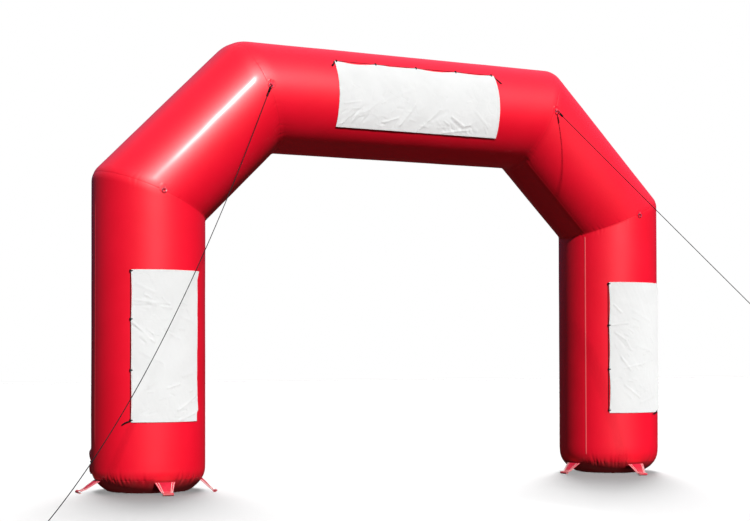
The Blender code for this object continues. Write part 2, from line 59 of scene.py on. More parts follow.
FRONT = np.array((0.0, -1.0, 0.0))
EAST = np.array((1.0, 0.0, 0.0))
UP = np.array((0.0, 0.0, 1.0))
GAP = 0.0003

# The air tube, as in the part's source
TUBE_RADIUS = 0.6
TUBE_SIDES = 56
SKIN_RADIUS = 0.5996
LEG_X = 2.95
KNEE_Z = 3.11
TOP_Z = 4.27
TOP_X = LEG_X - (TOP_Z - KNEE_Z)
MITRE_SLOPE = math.tan(math.radians(22.5))
BASE_SEAM_Z = 0.14


class Side(Enum):
    """The two legs, seen from the front."""

    LEFT = "left"
    RIGHT = "right"

    @property
    def facing(self) -> int:
        """Which way a quarter turn on from the front goes along x."""
        return -1 if self is Side.LEFT else 1

    @classmethod
    def at(cls, x: float) -> "Side":
        """The leg on this side of the arch's middle."""
        return cls.LEFT if x < 0 else cls.RIGHT


@dataclass(frozen=True)
class Wall:
    """One straight run of tube: its axis's start and way, and the way a quarter turn on from the front."""

    start: Array
    along: Array
    turn: Array

    def out(self, angle: Array | float) -> Array:
        """The direction straight out of the tube at these angles from the front."""
        angle = np.asarray(angle, float)
        return np.cos(angle)[..., None] * FRONT + np.sin(angle)[..., None] * self.turn

    def spot(self, angle: Array | float, distance: Array | float, radius: Array | float) -> Array:
        """Points this far round from the front (radians), along the axis and out from it (metres)."""
        distance, radius = np.asarray(distance, float), np.asarray(radius, float)
        return self.start + distance[..., None] * self.along + self.out(angle) * radius[..., None]


LEGS = {side: Wall(EAST * LEG_X * side.facing, UP, EAST * side.facing) for side in Side}
BEAM = Wall(UP * TOP_Z, EAST, UP)


def slope_wall(side: Side) -> Wall:
    """The wall of the diagonal that leans 45 degrees in from this side's knee."""
    leg, half = LEGS[side], math.sqrt(0.5)
    return Wall(leg.start + UP * KNEE_Z, (UP - leg.turn) * half, (UP + leg.turn) * half)


# ---- lines and grids ----


def unit(ways: Array) -> Array:
    """The same directions, each one metre long."""
    return ways / np.linalg.norm(ways, axis=-1, keepdims=True)


def bell(off: Array | float, width: float) -> Array | float:
    """1 on the line and fading beside it, to a third at this width."""
    return np.exp(-((off / width) ** 2))


def between(angle: Array | float, other: float) -> Array | float:
    """Radians from one angle to another, the short way round."""
    return (angle - other + math.pi) % math.tau - math.pi


def run_along(line: Array) -> Array:
    """Metres along a line at each of its points."""
    return np.concatenate([[0.0], np.cumsum(np.linalg.norm(np.diff(line, axis=0), axis=1))])


def flat_cloth(across: Array, along: Array) -> Array:
    """Places on the flat cloth, rows by columns by two, from metres across and metres along."""
    return np.stack(np.broadcast_arrays(across, along.reshape(len(along), -1)), -1)


def curve_through(points: Sequence, spacing: float) -> Array:
    """A smooth line through the points, at even steps.

    Args:
        points: The points it passes, in order.
        spacing: About how far apart the result's points are.

    Returns:
        Points by three.
    """
    knots = np.asarray(points, float)
    ends = np.vstack([2 * knots[0] - knots[1], knots, 2 * knots[-1] - knots[-2]])
    t = np.linspace(0, 1, 17)[:-1, None]
    fine = [
        0.5 * (2 * b + (c - a) * t + (2 * a - 5 * b + 4 * c - d) * t**2 + (3 * b - a - 3 * c + d) * t**3)
        for a, b, c, d in zip(ends, ends[1:], ends[2:], ends[3:])
    ]
    line = np.vstack([*fine, knots[-1:]])
    run = run_along(line)
    steps = np.linspace(0, run[-1], max(2, round(run[-1] / spacing) + 1))
    return np.stack([np.interp(steps, run, line[:, k]) for k in range(3)], 1)


def left_of(line: Array) -> Array:
    """Unit normals on the left of a line that lies in a plane."""
    ahead = unit(np.gradient(line, axis=0))
    return np.stack([-ahead[:, 1], ahead[:, 0]], 1)


def strap_section(line: Array, steps: Array, thick: Array) -> tuple[Array, ...]:
    """The outline of a strap's section, carried along its middle line.

    Args:
        line: The middle line as (out, up).
        steps: Places across the strap, from -1 to 1.
        thick: Half its thickness at each step.

    Returns:
        (place across, out, up), the last two for each point of the line.
    """
    normal, offset = left_of(line), np.concatenate([thick, -thick[::-1]])
    outward, upward = (line[:, k:k + 1] + normal[:, k:k + 1] * offset for k in (0, 1))
    return np.concatenate([steps, steps[::-1]]), outward, upward


# ---- meshes ----


def put(name: str, data: bpy.types.ID) -> Thing:
    """Adds an object of this name, with this mesh, lamp or camera, to the scene."""
    made = bpy.data.objects.new(name, data)
    bpy.context.scene.collection.objects.link(made)
    return made


def turn_outward(mesh: bpy.types.Mesh) -> None:
    """Turns a closed mesh's faces outward.

    Args:
        mesh: The mesh.
    """
    shape = bmesh.new()
    shape.from_mesh(mesh)
    bmesh.ops.recalc_face_normals(shape, faces=shape.faces)
    shape.to_mesh(mesh)
    shape.free()


def lattice(name: str, points: Array, flat: Array, cyclic: bool = False, capped: bool = False,
            sharp: float = 50.0) -> Thing:
    """Adds a surface through rows of points, with a UV map in metres.

    Args:
        name: The piece's name.
        points: Rows by columns by three.
        flat: Where each point lies on the flat cloth, with one more column than points if cyclic.
        cyclic: Whether the last column joins the first.
        capped: Whether the first and last rows are closed with a fan.
        sharp: The angle in degrees over which an edge stays sharp.

    Returns:
        The new object.
    """
    rows, columns = points.shape[:2]
    span = columns if cyclic else columns - 1
    row, column = np.meshgrid(np.arange(rows - 1), np.arange(span), indexing="ij")
    here, beside = row * columns + column, row * columns + (column + 1) % columns
    quads = np.stack([here, beside, beside + columns, here + columns], -1).reshape(-1, 4)
    spots = np.stack([flat[:-1, :span], flat[:-1, 1:span + 1], flat[1:, 1:span + 1], flat[1:, :span]], 2)
    places, faces = points.reshape(-1, 3).tolist(), quads.tolist()
    corner_uv = [spots.reshape(-1, 2)]
    if capped:
        for edge, flip in ((0, True), (rows - 1, False)):
            middle = len(places)
            places.append(points[edge].mean(0).tolist())
            for k in range(span):
                first, second = edge * columns + k, edge * columns + (k + 1) % columns
                faces.append([second, first, middle] if flip else [first, second, middle])
            centre = np.broadcast_to(flat[edge].mean(0), (span, 2))
            near, far = flat[edge, :span], flat[edge, 1:span + 1]
            fan = [far, near, centre] if flip else [near, far, centre]
            corner_uv.append(np.stack(fan, 1).reshape(-1, 2))
    mesh = bpy.data.meshes.new(name)
    mesh.from_pydata(places, [], faces)
    layer = mesh.uv_layers.new(name="UVMap")
    layer.data.foreach_set("uv", np.concatenate(corner_uv).astype(np.float32).ravel())
    if capped:
        turn_outward(mesh)
    mesh.shade_smooth()
    mesh.set_sharp_from_angle(angle=math.radians(sharp))
    return put(name, mesh)


def mark(piece: Thing, name: str, values: Array) -> None:
    """Writes a 0 to 1 mask on a piece's points.

    Args:
        piece: The piece.
        name: The mask's name.
        values: Its value at each point, in order. Any points past the last value get 0.
    """
    mesh = piece.data
    layer = mesh.attributes.new(name, "FLOAT", "POINT")
    full = np.zeros(len(mesh.vertices), np.float32)
    full[:values.size] = values.ravel()
    layer.data.foreach_set("value", full)


def choose(parts: Sequence[Thing]) -> None:
    """Selects these parts alone and makes the first the active one.

    Args:
        parts: The parts.
    """
    bpy.ops.object.select_all(action="DESELECT")
    for part in parts:
        part.select_set(True)
    bpy.context.view_layer.objects.active = parts[0]


def joined(name: str, parts: Sequence[Thing]) -> Thing:
    """Joins the parts into one piece of this name.

    Args:
        name: The piece's name.
        parts: What it is made of.

    Returns:
        The piece.
    """
    choose(parts)
    if len(parts) > 1:
        bpy.ops.object.join()
    parts[0].name = parts[0].data.name = name
    return parts[0]


def dress(piece: Thing, finish: Material, slot: str, *nodes: str) -> Thing:
    """Gives a piece its material, sets it on the arch, and lets it stand for its CAD nodes.

    Args:
        piece: The piece.
        finish: Its material.
        slot: Not used.
        nodes: The CAD nodes that it replaces.

    Returns:
        The piece.
    """
    piece.data.materials.clear()
    piece.data.materials.append(finish)
    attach(piece, "root")
    if nodes:
        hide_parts(*nodes)
    LOG.info("%s: %d faces", piece.name, len(piece.data.polygons))
    return piece


@dataclass(frozen=True)
class Cord:
    """A round cord, plain or with strands laid round it.

    `lay` is the metres for one turn of a strand, and `relief` the depth of the grooves between strands, as a
    share of the radius.
    """

    diameter: float
    sides: int = 10
    strands: int = 0
    lay: float = 0.03
    relief: float = 0.0

    RIDGE_MEAN = 0.64
    MERGE = 1e-6

    def follow(self, name: str, path: Array, swell: Array | None = None, closed: bool = False) -> Thing:
        """Sweeps the cord along a path.

        Args:
            name: The piece's name.
            path: Points by three, close together.
            swell: Its thickness at each point, as a share of the whole.
            closed: Whether the path's end meets its start.

        Returns:
            The cord as a closed mesh, with a UV map of turns round it and metres along it.
        """
        swell = np.ones(len(path)) if swell is None else swell
        if closed:
            path, swell = np.vstack([path, path[:1]]), np.append(swell, swell[0])
        step = np.gradient(path, axis=0)
        if closed:
            step[0] = step[-1] = path[1] - path[-2]
        step = unit(step)
        run = run_along(path)
        across, level = self.carried(step, run, closed)
        turn = math.tau * np.arange(self.sides) / self.sides
        radius = np.full((len(path), self.sides), self.diameter / 2) * swell[:, None]
        if self.strands:
            phase = self.strands / 2 * (turn[None, :] - math.tau * run[:, None] / self.lay)
            radius *= 1 + self.relief * (np.abs(np.cos(phase)) - self.RIDGE_MEAN)
        rings = path[:, None] + radius[..., None] * (
            across[:, None] * np.cos(turn)[None, :, None] + level[:, None] * np.sin(turn)[None, :, None]
        )
        flat = flat_cloth(np.arange(self.sides + 1) / self.sides, run)
        made = lattice(name, rings, flat, cyclic=True, capped=not closed, sharp=70.0)
        if closed:
            choose([made])
            bpy.ops.object.mode_set(mode="EDIT")
            bpy.ops.mesh.select_all(action="SELECT")
            bpy.ops.mesh.remove_doubles(threshold=self.MERGE)
            bpy.ops.mesh.normals_make_consistent(inside=False)
            bpy.ops.object.mode_set(mode="OBJECT")
        return made

    def carried(self, step: Array, run: Array, closed: bool) -> tuple[Array, Array]:
        """Two directions across a path, carried along it without a twist.

        Args:
            step: The way ahead at each point.
            run: Metres along the path.
            closed: Whether its end meets its start, so that what twist is left is spread along it.

        Returns:
            Both directions at each point.
        """
        side = np.cross(step[0], UP if abs(step[0][2]) < 0.9 else EAST)
        sides = []
        for ahead in step:
            side = unit(side - ahead * (side @ ahead))
            sides.append(side)
        across = np.array(sides)
        level = np.cross(step, across)
        if not closed:
            return across, level
        left = math.atan2(across[-1] @ level[0], across[-1] @ across[0])
        back = (-left * run / run[-1])[:, None]
        return across * np.cos(back) + level * np.sin(back), level * np.cos(back) - across * np.sin(back)


# ---- finishes ----


class Nodes:
    """A node tree that is being wired."""

    def __init__(self, tree: bpy.types.NodeTree) -> None:
        """Starts on this tree."""
        self.tree = tree

    def give(self, node: bpy.types.Node, inputs: dict) -> bpy.types.Node:
        """Sets or links a node's inputs.

        Args:
            node: The node.
            inputs: Values or sockets, by the input's name or number.

        Returns:
            The node.
        """
        for name, value in inputs.items():
            if isinstance(value, Socket):
                self.tree.links.new(value, node.inputs[name])
            else:
                node.inputs[name].default_value = value
        return node

    def add(self, kind: str, inputs: dict | None = None, **settings: object) -> bpy.types.Node:
        """Adds a node.

        Args:
            kind: The node's type, without its ShaderNode start.
            inputs: Values or sockets for its inputs, by name or number.
            settings: Its own settings.

        Returns:
            The node.
        """
        made = self.tree.nodes.new(f"ShaderNode{kind}")
        for name, value in settings.items():
            setattr(made, name, value)
        return self.give(made, inputs or {})

    def math(self, operation: str, first: Socket | float, second: Socket | float = 0.0,
             clamp: bool = False) -> Socket:
        """The result of a Math node."""
        return self.add("Math", {0: first, 1: second}, operation=operation, use_clamp=clamp).outputs[0]

    def times(self, first: Socket | float, second: Socket | float) -> Socket:
        """Their product."""
        return self.math("MULTIPLY", first, second)

    def plus(self, first: Socket | float, second: Socket | float) -> Socket:
        """Their sum."""
        return self.math("ADD", first, second)

    def blend(self, share: Socket | float, first: Socket | Colour, second: Socket | Colour) -> Socket:
        """A mix of two colours."""
        return self.add("Mix", {0: share, 6: first, 7: second}, data_type="RGBA").outputs[2]

    def cloud(self, place: Socket, scale: float | Socket, detail: float, rough: float) -> Socket:
        """A noise value from 0 to 1."""
        inputs = {"Vector": place, "Scale": scale, "Detail": detail, "Roughness": rough}
        return self.add("TexNoise", inputs).outputs[0]

    def ramp(self, value: Socket, low: float, high: float) -> Socket:
        """Smoothly 0 at low and 1 at high."""
        inputs = {"Value": value, "From Min": low, "From Max": high}
        return self.add("MapRange", inputs, interpolation_type="SMOOTHSTEP").outputs[0]

    def stretch(self, place: Socket, scale: Point) -> Socket:
        """The place, scaled by these amounts."""
        return self.add("Mapping", {"Vector": place, "Scale": scale}).outputs[0]

    def attribute(self, name: str) -> Socket:
        """A piece's own mask."""
        return self.add("Attribute", attribute_name=name).outputs["Fac"]

    def effect(self, kind: "Effect", **inputs: object) -> bpy.types.Node:
        """Places an effect's node group with these inputs."""
        return self.add("Group", inputs, node_tree=kind.tree())


@dataclass(frozen=True)
class Effect:
    """A shader node group that more than one finish can use, built once.

    `wire` takes the group's nodes and a socket for each input, and returns one for each output.
    """

    name: str
    inputs: tuple[str, ...]
    outputs: tuple[str, ...]
    wire: Callable[..., tuple[Socket, ...]]

    KINDS = {"Place": "Vector", "Light": "Color", "Deep": "Color", "Color": "Color"}

    def tree(self) -> bpy.types.NodeTree:
        """Finds the group's tree, or builds it.

        Returns:
            The tree.
        """
        if found := bpy.data.node_groups.get(self.name):
            return found
        made = bpy.data.node_groups.new(self.name, "ShaderNodeTree")
        for way, labels in (("INPUT", self.inputs), ("OUTPUT", self.outputs)):
            for label in labels:
                kind = self.KINDS.get(label, "Float")
                made.interface.new_socket(label, in_out=way, socket_type=f"NodeSocket{kind}")
        given, result = made.nodes.new("NodeGroupInput"), made.nodes.new("NodeGroupOutput")
        sockets = self.wire(Nodes(made), *(given.outputs[label] for label in self.inputs))
        for label, socket in zip(self.outputs, sockets):
            made.links.new(socket, result.inputs[label])
        return made


def wire_weave(n: Nodes, place: Socket, pitch: Socket, depth: Socket) -> tuple[Socket, Socket]:
    """Threads over and under, as two crossed waves.

    Args:
        n: The group's nodes.
        place: Metres on the flat cloth.
        pitch: From one thread to the next.
        depth: Of the weave.

    Returns:
        Its height, and which thread is on top.
    """
    split = n.add("SeparateXYZ", {0: place})
    turns = n.math("DIVIDE", math.pi, pitch)
    warp, weft = (n.math("SINE", n.times(split.outputs[k], turns)) for k in (0, 1))
    cross = n.times(warp, weft)
    return n.times(n.math("ABSOLUTE", cross), depth), cross


def wire_slack(n: Nodes, place: Socket, scale: Socket, depth: Socket) -> tuple[Socket]:
    """Slow waves in taut cloth: a broad cloud and a finer one.

    Args:
        n: The group's nodes.
        place: On the cloth.
        scale: Of the broad cloud.
        depth: Of the waves.

    Returns:
        Their height.
    """
    finer, share = 5.3, .22
    broad = n.cloud(place, scale, 2.0, 0.45)
    fine = n.cloud(place, n.times(scale, finer), 3.0, 0.55)
    return (n.times(n.plus(broad, n.times(fine, share)), depth),)


def wire_tone(n: Nodes, place: Socket, scale: Socket, light: Socket, deep: Socket) -> tuple[Socket, Socket]:
    """Slow colour drift between two tones, as (colour, share of the deeper one)."""
    share = n.ramp(n.cloud(place, scale, 4.0, 0.6), 0.3, 0.7)
    return n.blend(share, light, deep), share


def wire_dust(n: Nodes, place: Socket, reach: Socket, amount: Socket) -> tuple[Socket]:
    """Dust near the ground, patchy and thickest at the bottom.

    Args:
        n: The group's nodes.
        place: On the piece.
        reach: How high it goes.
        amount: How much of it.

    Returns:
        Its share.
    """
    height = n.add("SeparateXYZ", {0: place}).outputs[2]
    low = n.math("SUBTRACT", 1.0, n.math("DIVIDE", height, reach), clamp=True)
    patch = n.ramp(n.cloud(place, 9.0, 5.0, 0.65), 0.35, 0.75)
    share = n.times(n.times(low, low), n.plus(patch, 0.35))
    return (n.math("MULTIPLY", share, amount, clamp=True),)


def wire_twist(n: Nodes, place: Socket, strands: Socket, pitch: Socket,
               depth: Socket) -> tuple[Socket, Socket]:
    """Strands round a cord, as two spirals that cross.

    Args:
        n: The group's nodes.
        place: Turns round the cord and metres along it.
        strands: How many.
        pitch: Metres along the cord for one.
        depth: Of the relief.

    Returns:
        Its height, and where a strand is on top.
    """
    split = n.add("SeparateXYZ", {0: place})
    round_it = n.times(split.outputs[0], n.times(strands, math.tau))
    along = n.times(split.outputs[1], n.math("DIVIDE", math.tau, pitch))
    one, other = (n.math("SINE", n.math(way, round_it, along)) for way in ("ADD", "SUBTRACT"))
    mask = n.math("MAXIMUM", one, other)
    return n.times(mask, depth), mask


WEAVE = Effect("cloth_weave", ("Place", "Pitch", "Depth"), ("Height", "Mask"), wire_weave)
SLACK = Effect("slack_waves", ("Place", "Scale", "Depth"), ("Height",), wire_slack)
TONE = Effect("tone_drift", ("Place", "Scale", "Light", "Deep"), ("Color", "Mask"), wire_tone)
DUST = Effect("ground_dust", ("Place", "Reach", "Amount"), ("Mask",), wire_dust)
TWIST = Effect("strand_twist", ("Place", "Strands", "Pitch", "Depth"), ("Height", "Mask"), wire_twist)


class Finish:
    """What a material starts from: its nodes, its shader and where the surface is."""

    def __init__(self, name: str) -> None:
        """Makes an empty material.

        Args:
            name: The material's name.
        """
        self.material = bpy.data.materials.new(name)
        self.material.use_nodes = True
        self.nodes = Nodes(self.material.node_tree)
        self.shader = self.material.node_tree.nodes["Principled BSDF"]
        place = self.nodes.add("TexCoord")
        self.object, self.flat = place.outputs["Object"], place.outputs["UV"]

    def set(self, **values: object) -> None:
        """Sets or links the shader's inputs, named with _ for a space."""
        self.nodes.give(self.shader, {name.replace("_", " "): value for name, value in values.items()})

    def relief(self, height: Socket) -> None:
        """Raises the surface by a height in metres."""
        bump = self.nodes.add("Bump", {"Height": height, "Distance": 1.0, "Strength": 1.0})
        self.set(Normal=bump.outputs[0])

    def tone(self, scale: float, light: Colour, deep: Colour) -> Sequence[Socket]:
        """Slow drift from one tone to another, as (colour, share of the deeper one)."""
        return self.nodes.effect(TONE, Place=self.object, Scale=scale, Light=light, Deep=deep).outputs

    def weave(self, pitch: float, depth: float) -> Sequence[Socket]:
        """A woven surface, as (height, which thread is on top)."""
        return self.nodes.effect(WEAVE, Place=self.flat, Pitch=pitch, Depth=depth).outputs

    def dust(self, reach: float, amount: float) -> Socket:
        """The share of dust, up to this height over the ground."""
        return self.nodes.effect(DUST, Place=self.object, Reach=reach, Amount=amount).outputs[0]


@dataclass(frozen=True)
class CoatedCloth:
    """Air tight coated cloth: glossy, faintly woven, dusty at the foot, with painted highlights on its laps
    and painted shade along its seams.
    """

    name: str
    light: Colour = (.815, .0012, .0215, 1.0)
    deep: Colour = (.76, .0008, .0175, 1.0)
    # pale is the colour of the painted highlight along a lap's raised edge
    pale: Colour = (.9, .16, .17, 1.0)
    shade: Colour = (.4, .001, .008, 1.0)
    soil: Colour = (.3, .2, .16, 1.0)
    roughness: float = 0.47
    coat: float = 0.16
    coat_roughness: float = 0.2
    waves: float = 0.001
    thread: float = 0.0024
    thread_depth: float = 0.00005
    dust_reach: float = 0.3
    dust_amount: float = 0.22

    def make(self) -> Material:
        """Builds the material.

        Returns:
            The material.
        """
        f = Finish(self.name)
        n = f.nodes
        tone = f.tone(1.7, self.light, self.deep)
        dust = f.dust(self.dust_reach, self.dust_amount)
        scuffs = n.ramp(n.cloud(n.stretch(f.flat, (9.0, 1.6, 1.0)), 3.0, 6.0, 0.7), 0.6, 0.78)
        # Seams darken toward shade, a painted shade along them; laps lighten toward pale, a painted highlight
        # on their raised edges.
        colour = n.blend(n.times(n.attribute("seam"), 0.14), tone[0], self.shade)
        colour = n.blend(n.times(n.attribute("lap"), 0.42), colour, self.pale)
        rough = n.plus(n.times(n.cloud(f.object, 2.3, 4.0, 0.6), 0.1), self.roughness - 0.05)
        rough = n.plus(rough, n.plus(n.times(scuffs, 0.08), n.times(dust, 0.5)))
        drawn = n.stretch(f.flat, (1.0, .45, 1.0))
        waves = n.effect(SLACK, Place=drawn, Scale=2.6, Depth=self.waves).outputs[0]
        f.relief(n.plus(f.weave(self.thread, self.thread_depth)[0], waves))
        f.set(Base_Color=n.blend(dust, colour, self.soil), Roughness=rough, IOR=1.5)
        f.set(Coat_Roughness=self.coat_roughness)
        f.set(Coat_Weight=n.times(n.math("SUBTRACT", 1.0, dust), self.coat))
        return f.material


@dataclass(frozen=True)
class StrapCloth:
    """A heavy woven strap with fine ribs across it and worn edges."""

    name: str
    light: Colour = (.66, .008, .046, 1.0)
    deep: Colour = (.5, .004, .028, 1.0)
    worn: Colour = (.84, .3, .34, 1.0)
    soil: Colour = (.36, .27, .22, 1.0)
    rib: float = 0.0022
    rib_depth: float = 0.00035
    dust_reach: float = 0.12
    dust_amount: float = 0.35

    def make(self) -> Material:
        """Builds the material.

        Returns:
            The material.
        """
        f = Finish(self.name)
        n = f.nodes
        height, thread = f.weave(self.rib, self.rib_depth)
        wear = n.times(n.attribute("rim"), n.ramp(n.cloud(f.object, 60.0, 4.0, 0.6), 0.35, 0.7))
        tone = f.tone(14.0, self.light, self.deep)[0]
        colour = n.blend(n.times(n.ramp(thread, 0.0, 1.0), 0.25), tone, self.deep)
        colour = n.blend(n.times(wear, 0.45), colour, self.worn)
        dust = f.dust(self.dust_reach, self.dust_amount)
        f.set(Base_Color=n.blend(dust, colour, self.soil), Roughness=0.6)
        f.relief(height)
        return f.material


@dataclass(frozen=True)
class SheetCloth:
    """White banner cloth: matt over a fine weave, with faint packed-away creases and soiled edges."""

    name: str
    light: Colour = (.81, .81, .805, 1.0)
    deep: Colour = (.78, .78, .775, 1.0)
    grime: Colour = (.5, .45, .42, 1.0)
    thread: float = 0.0018
    thread_depth: float = 0.0001
    soft: float = 0.006
    crease: float = -0.0011

    def make(self) -> Material:
        """Builds the material.

        Returns:
            The material.
        """
        f = Finish(self.name)
        n = f.nodes
        soft = n.cloud(f.flat, 7.0, 3.0, 0.55)
        drift = n.add("TexNoise", {"Vector": f.flat, "Scale": 5.0}).outputs[1]
        warped = n.add("Mix", {0: 0.1, 4: f.flat, 5: drift}, data_type="VECTOR").outputs[1]
        cells = n.add("TexVoronoi", {"Vector": warped, "Scale": 8.5}, feature="DISTANCE_TO_EDGE").outputs[0]
        line = n.math("SUBTRACT", 1.0, n.ramp(cells, 0.0, 0.1))
        patch = n.ramp(n.cloud(f.flat, 3.3, 2.0, 0.5), 0.45, 0.65)
        crease = n.times(n.times(line, patch), self.crease)
        weave = f.weave(self.thread, self.thread_depth)[0]
        soiled = n.times(n.attribute("rim"), n.ramp(n.cloud(f.flat, 22.0, 5.0, 0.7), 0.4, 0.8))
        tone = f.tone(3.1, self.light, self.deep)[0]
        f.set(Base_Color=n.blend(n.times(soiled, 0.3), tone, self.grime))
        f.set(Roughness=n.plus(n.times(soft, 0.12), 0.55), Specular_IOR_Level=0.3, Diffuse_Roughness=1.0)
        f.relief(n.plus(n.times(soft, self.soft), n.plus(crease, weave)))
        return f.material


@dataclass(frozen=True)
class CordYarn:
    """Black braided or laid cord."""

    name: str
    strands: float
    pitch: float
    depth: float
    light: Colour = (.01, .0095, .01, 1.0)
    deep: Colour = (.004, .004, .0045, 1.0)
    fuzz: Colour = (.03, .028, .026, 1.0)
    soil: Colour = (.2, .16, .13, 1.0)

    def make(self) -> Material:
        """Builds the material.

        Returns:
            The material.
        """
        f = Finish(self.name)
        n = f.nodes
        twist = n.effect(TWIST, Place=f.flat, Strands=self.strands, Pitch=self.pitch, Depth=self.depth)
        tone = f.tone(9.0, self.light, self.deep)[0]
        # In the grooves between strands the cord takes the deep tone: painted shade in the grooves.
        colour = n.blend(n.ramp(twist.outputs[1], 0.2, 1.0), self.deep, tone)
        fibres = n.times(n.ramp(n.cloud(f.object, 900.0, 2.0, 0.6), 0.55, 0.8), 0.2)
        colour = n.blend(f.dust(0.2, 0.4), n.blend(fibres, colour, self.fuzz), self.soil)
        f.set(Base_Color=colour, Roughness=0.7, Specular_IOR_Level=0.2)
        f.relief(twist.outputs[0])
        return f.material


@dataclass(frozen=True)
class ZincSteel:
    """Zinc plated wire, faintly mottled and scratched."""

    name: str
    light: Colour = (.72, .71, .69, 1.0)
    deep: Colour = (.5, .49, .48, 1.0)
    scratch: float = -0.00003

    def make(self) -> Material:
        """Builds the material.

        Returns:
            The material.
        """
        f = Finish(self.name)
        n = f.nodes
        tone, mottle = f.tone(60.0, self.light, self.deep)
        lines = n.ramp(n.cloud(n.stretch(f.object, (90.0, 90.0, 700.0)), 4.0, 4.0, 0.7), 0.55, 0.75)
        f.set(Base_Color=tone, Metallic=1.0, Roughness=n.plus(n.times(lines, 0.22), n.times(mottle, 0.08)))
        f.relief(n.times(lines, self.scratch))
        return f.material


@dataclass(frozen=True)
class SewingThread:
    """Pale bonded sewing thread."""

    name: str
    light: Colour = (.92, .84, .82, 1.0)
    deep: Colour = (.8, .62, .6, 1.0)
    ply: float = 0.00015

    def make(self) -> Material:
        """Builds the material.

        Returns:
            The material.
        """
        f = Finish(self.name)
        f.set(Base_Color=f.tone(30.0, self.light, self.deep)[0], Roughness=0.5, Sheen_Weight=0.4)
        f.relief(f.nodes.times(f.nodes.cloud(f.object, 1500.0, 1.0, 0.5), self.ply))
        return f.material


def finish_of(kind: object) -> Material:
    """A field that holds this finish's material, made with its owner."""
    return field(default_factory=kind.make)


@dataclass
class Wardrobe:
    """Every material of the arch, made once."""

    skin: Material = finish_of(CoatedCloth("red_coated_cloth"))
    # The base panels' cloth is darker than the skin's: painted shade on the panel under each leg.
    foot: Material = finish_of(
        CoatedCloth("red_foot_cloth", (.52, .0008, .0135, 1.0), (.44, .0006, .011, 1.0)))
    sleeve: Material = finish_of(CoatedCloth("red_sleeve_cloth", roughness=0.4, waves=0.003))
    strap: Material = finish_of(StrapCloth("red_strap_cloth"))
    sheet: Material = finish_of(SheetCloth("white_banner_cloth"))
    rope: Material = finish_of(CordYarn("black_laid_rope", 12.0, 0.01, 0.0002))
    braid: Material = finish_of(CordYarn("black_braided_cord", 6.0, 0.006, 0.0005))
    steel: Material = finish_of(ZincSteel("zinc_wire"))
    thread: Material = finish_of(SewingThread("white_sewing_thread"))


# ---- the air tube ----


@dataclass(frozen=True)
class Tuck:
    """A short fold that starts at a seam.

    `angle` is in degrees from the front, and `lean` is how far it drifts round the tube, in metres a metre.
    """

    angle: float
    depth: float
    width: float
    length: float
    lean: float

    PUFF = 0.35

    def depth_at(self, angle: Array, back: Array) -> Array:
        """How far it draws the skin in, where the skin puffs out beside it.

        Args:
            angle: Radians from the front.
            back: Metres from the seam.

        Returns:
            Metres below the skin.
        """
        off = between(angle, math.radians(self.angle)) * TUBE_RADIUS - self.lean * back
        fade = np.exp(-((back / self.length) ** 1.5))
        return self.depth * fade * (bell(off, self.width) - self.PUFF * bell(off, 2 * self.width))


def tucks_round(seed: int, count: int, deepest: float, longest: float,
                weight: Callable[[float], float]) -> tuple[Tuck, ...]:
    """Uneven tucks all the way round a seam.

    Args:
        seed: For the same tucks each run.
        count: How many.
        deepest: The deepest, in metres.
        longest: The longest, in metres.
        weight: A tuck's share of the depth, from its angle in degrees.

    Returns:
        The tucks.
    """
    dice = random.Random(seed)
    made = []
    for k in range(count):
        angle = 360.0 * (k + dice.uniform(-0.42, 0.42)) / count
        size = dice.random() ** 1.6
        depth = deepest * (0.18 + 0.82 * size) * weight(angle % 360.0)
        length = longest * (0.35 + 0.65 * dice.random()) * (0.5 + 0.5 * size)
        width = dice.uniform(0.006, 0.012) * (0.7 + size)
        made.append(Tuck(angle, depth, width, length, dice.uniform(-0.25, 0.25)))
    return tuple(made)


@dataclass(frozen=True)
class MitredEnd:
    """An end sewn to the next length on a 22.5 degree mitre.

    `toward` is 1 at the wall's far end and -1 at its start. The outer side is drawn in by `rounding`, and the
    inner side starts to turn `inner` back from the seam.
    """

    seam_at: float
    toward: int
    rounding: float
    inner: float
    tucks: tuple[Tuck, ...]

    GROOVE = 0.0006
    GROOVE_WIDTH = 0.005
    SEAM_WIDTH = 0.006
    BACKS = (0, .0025, .005, .008, .012, .017, .024, .032, .042, .054, .068, .084, .102, .122, .145, .17,
             .2, .24, .29)

    def row(self, angle: Array, back: float) -> tuple[Array, Array, float]:
        """The skin all round, this far back from the seam.

        Args:
            angle: Radians from the front.
            back: Metres back from the seam.

        Returns:
            (distance along the wall, radius, seam mask).
        """
        length = np.where(np.sin(angle) > 0, 2 * self.rounding / MITRE_SLOPE, self.inner)
        turned = MITRE_SLOPE * np.sin(angle) * length / 2 * np.maximum(0.0, 1 - back / length) ** 2
        radius = SKIN_RADIUS - turned - self.GROOVE * bell(back, self.GROOVE_WIDTH)
        for tuck in self.tucks:
            radius = radius - tuck.depth_at(angle, np.full_like(angle, back))
        reach = radius * np.sin(angle) * MITRE_SLOPE - GAP - back
        return self.seam_at + self.toward * reach, radius, bell(back, self.SEAM_WIDTH)


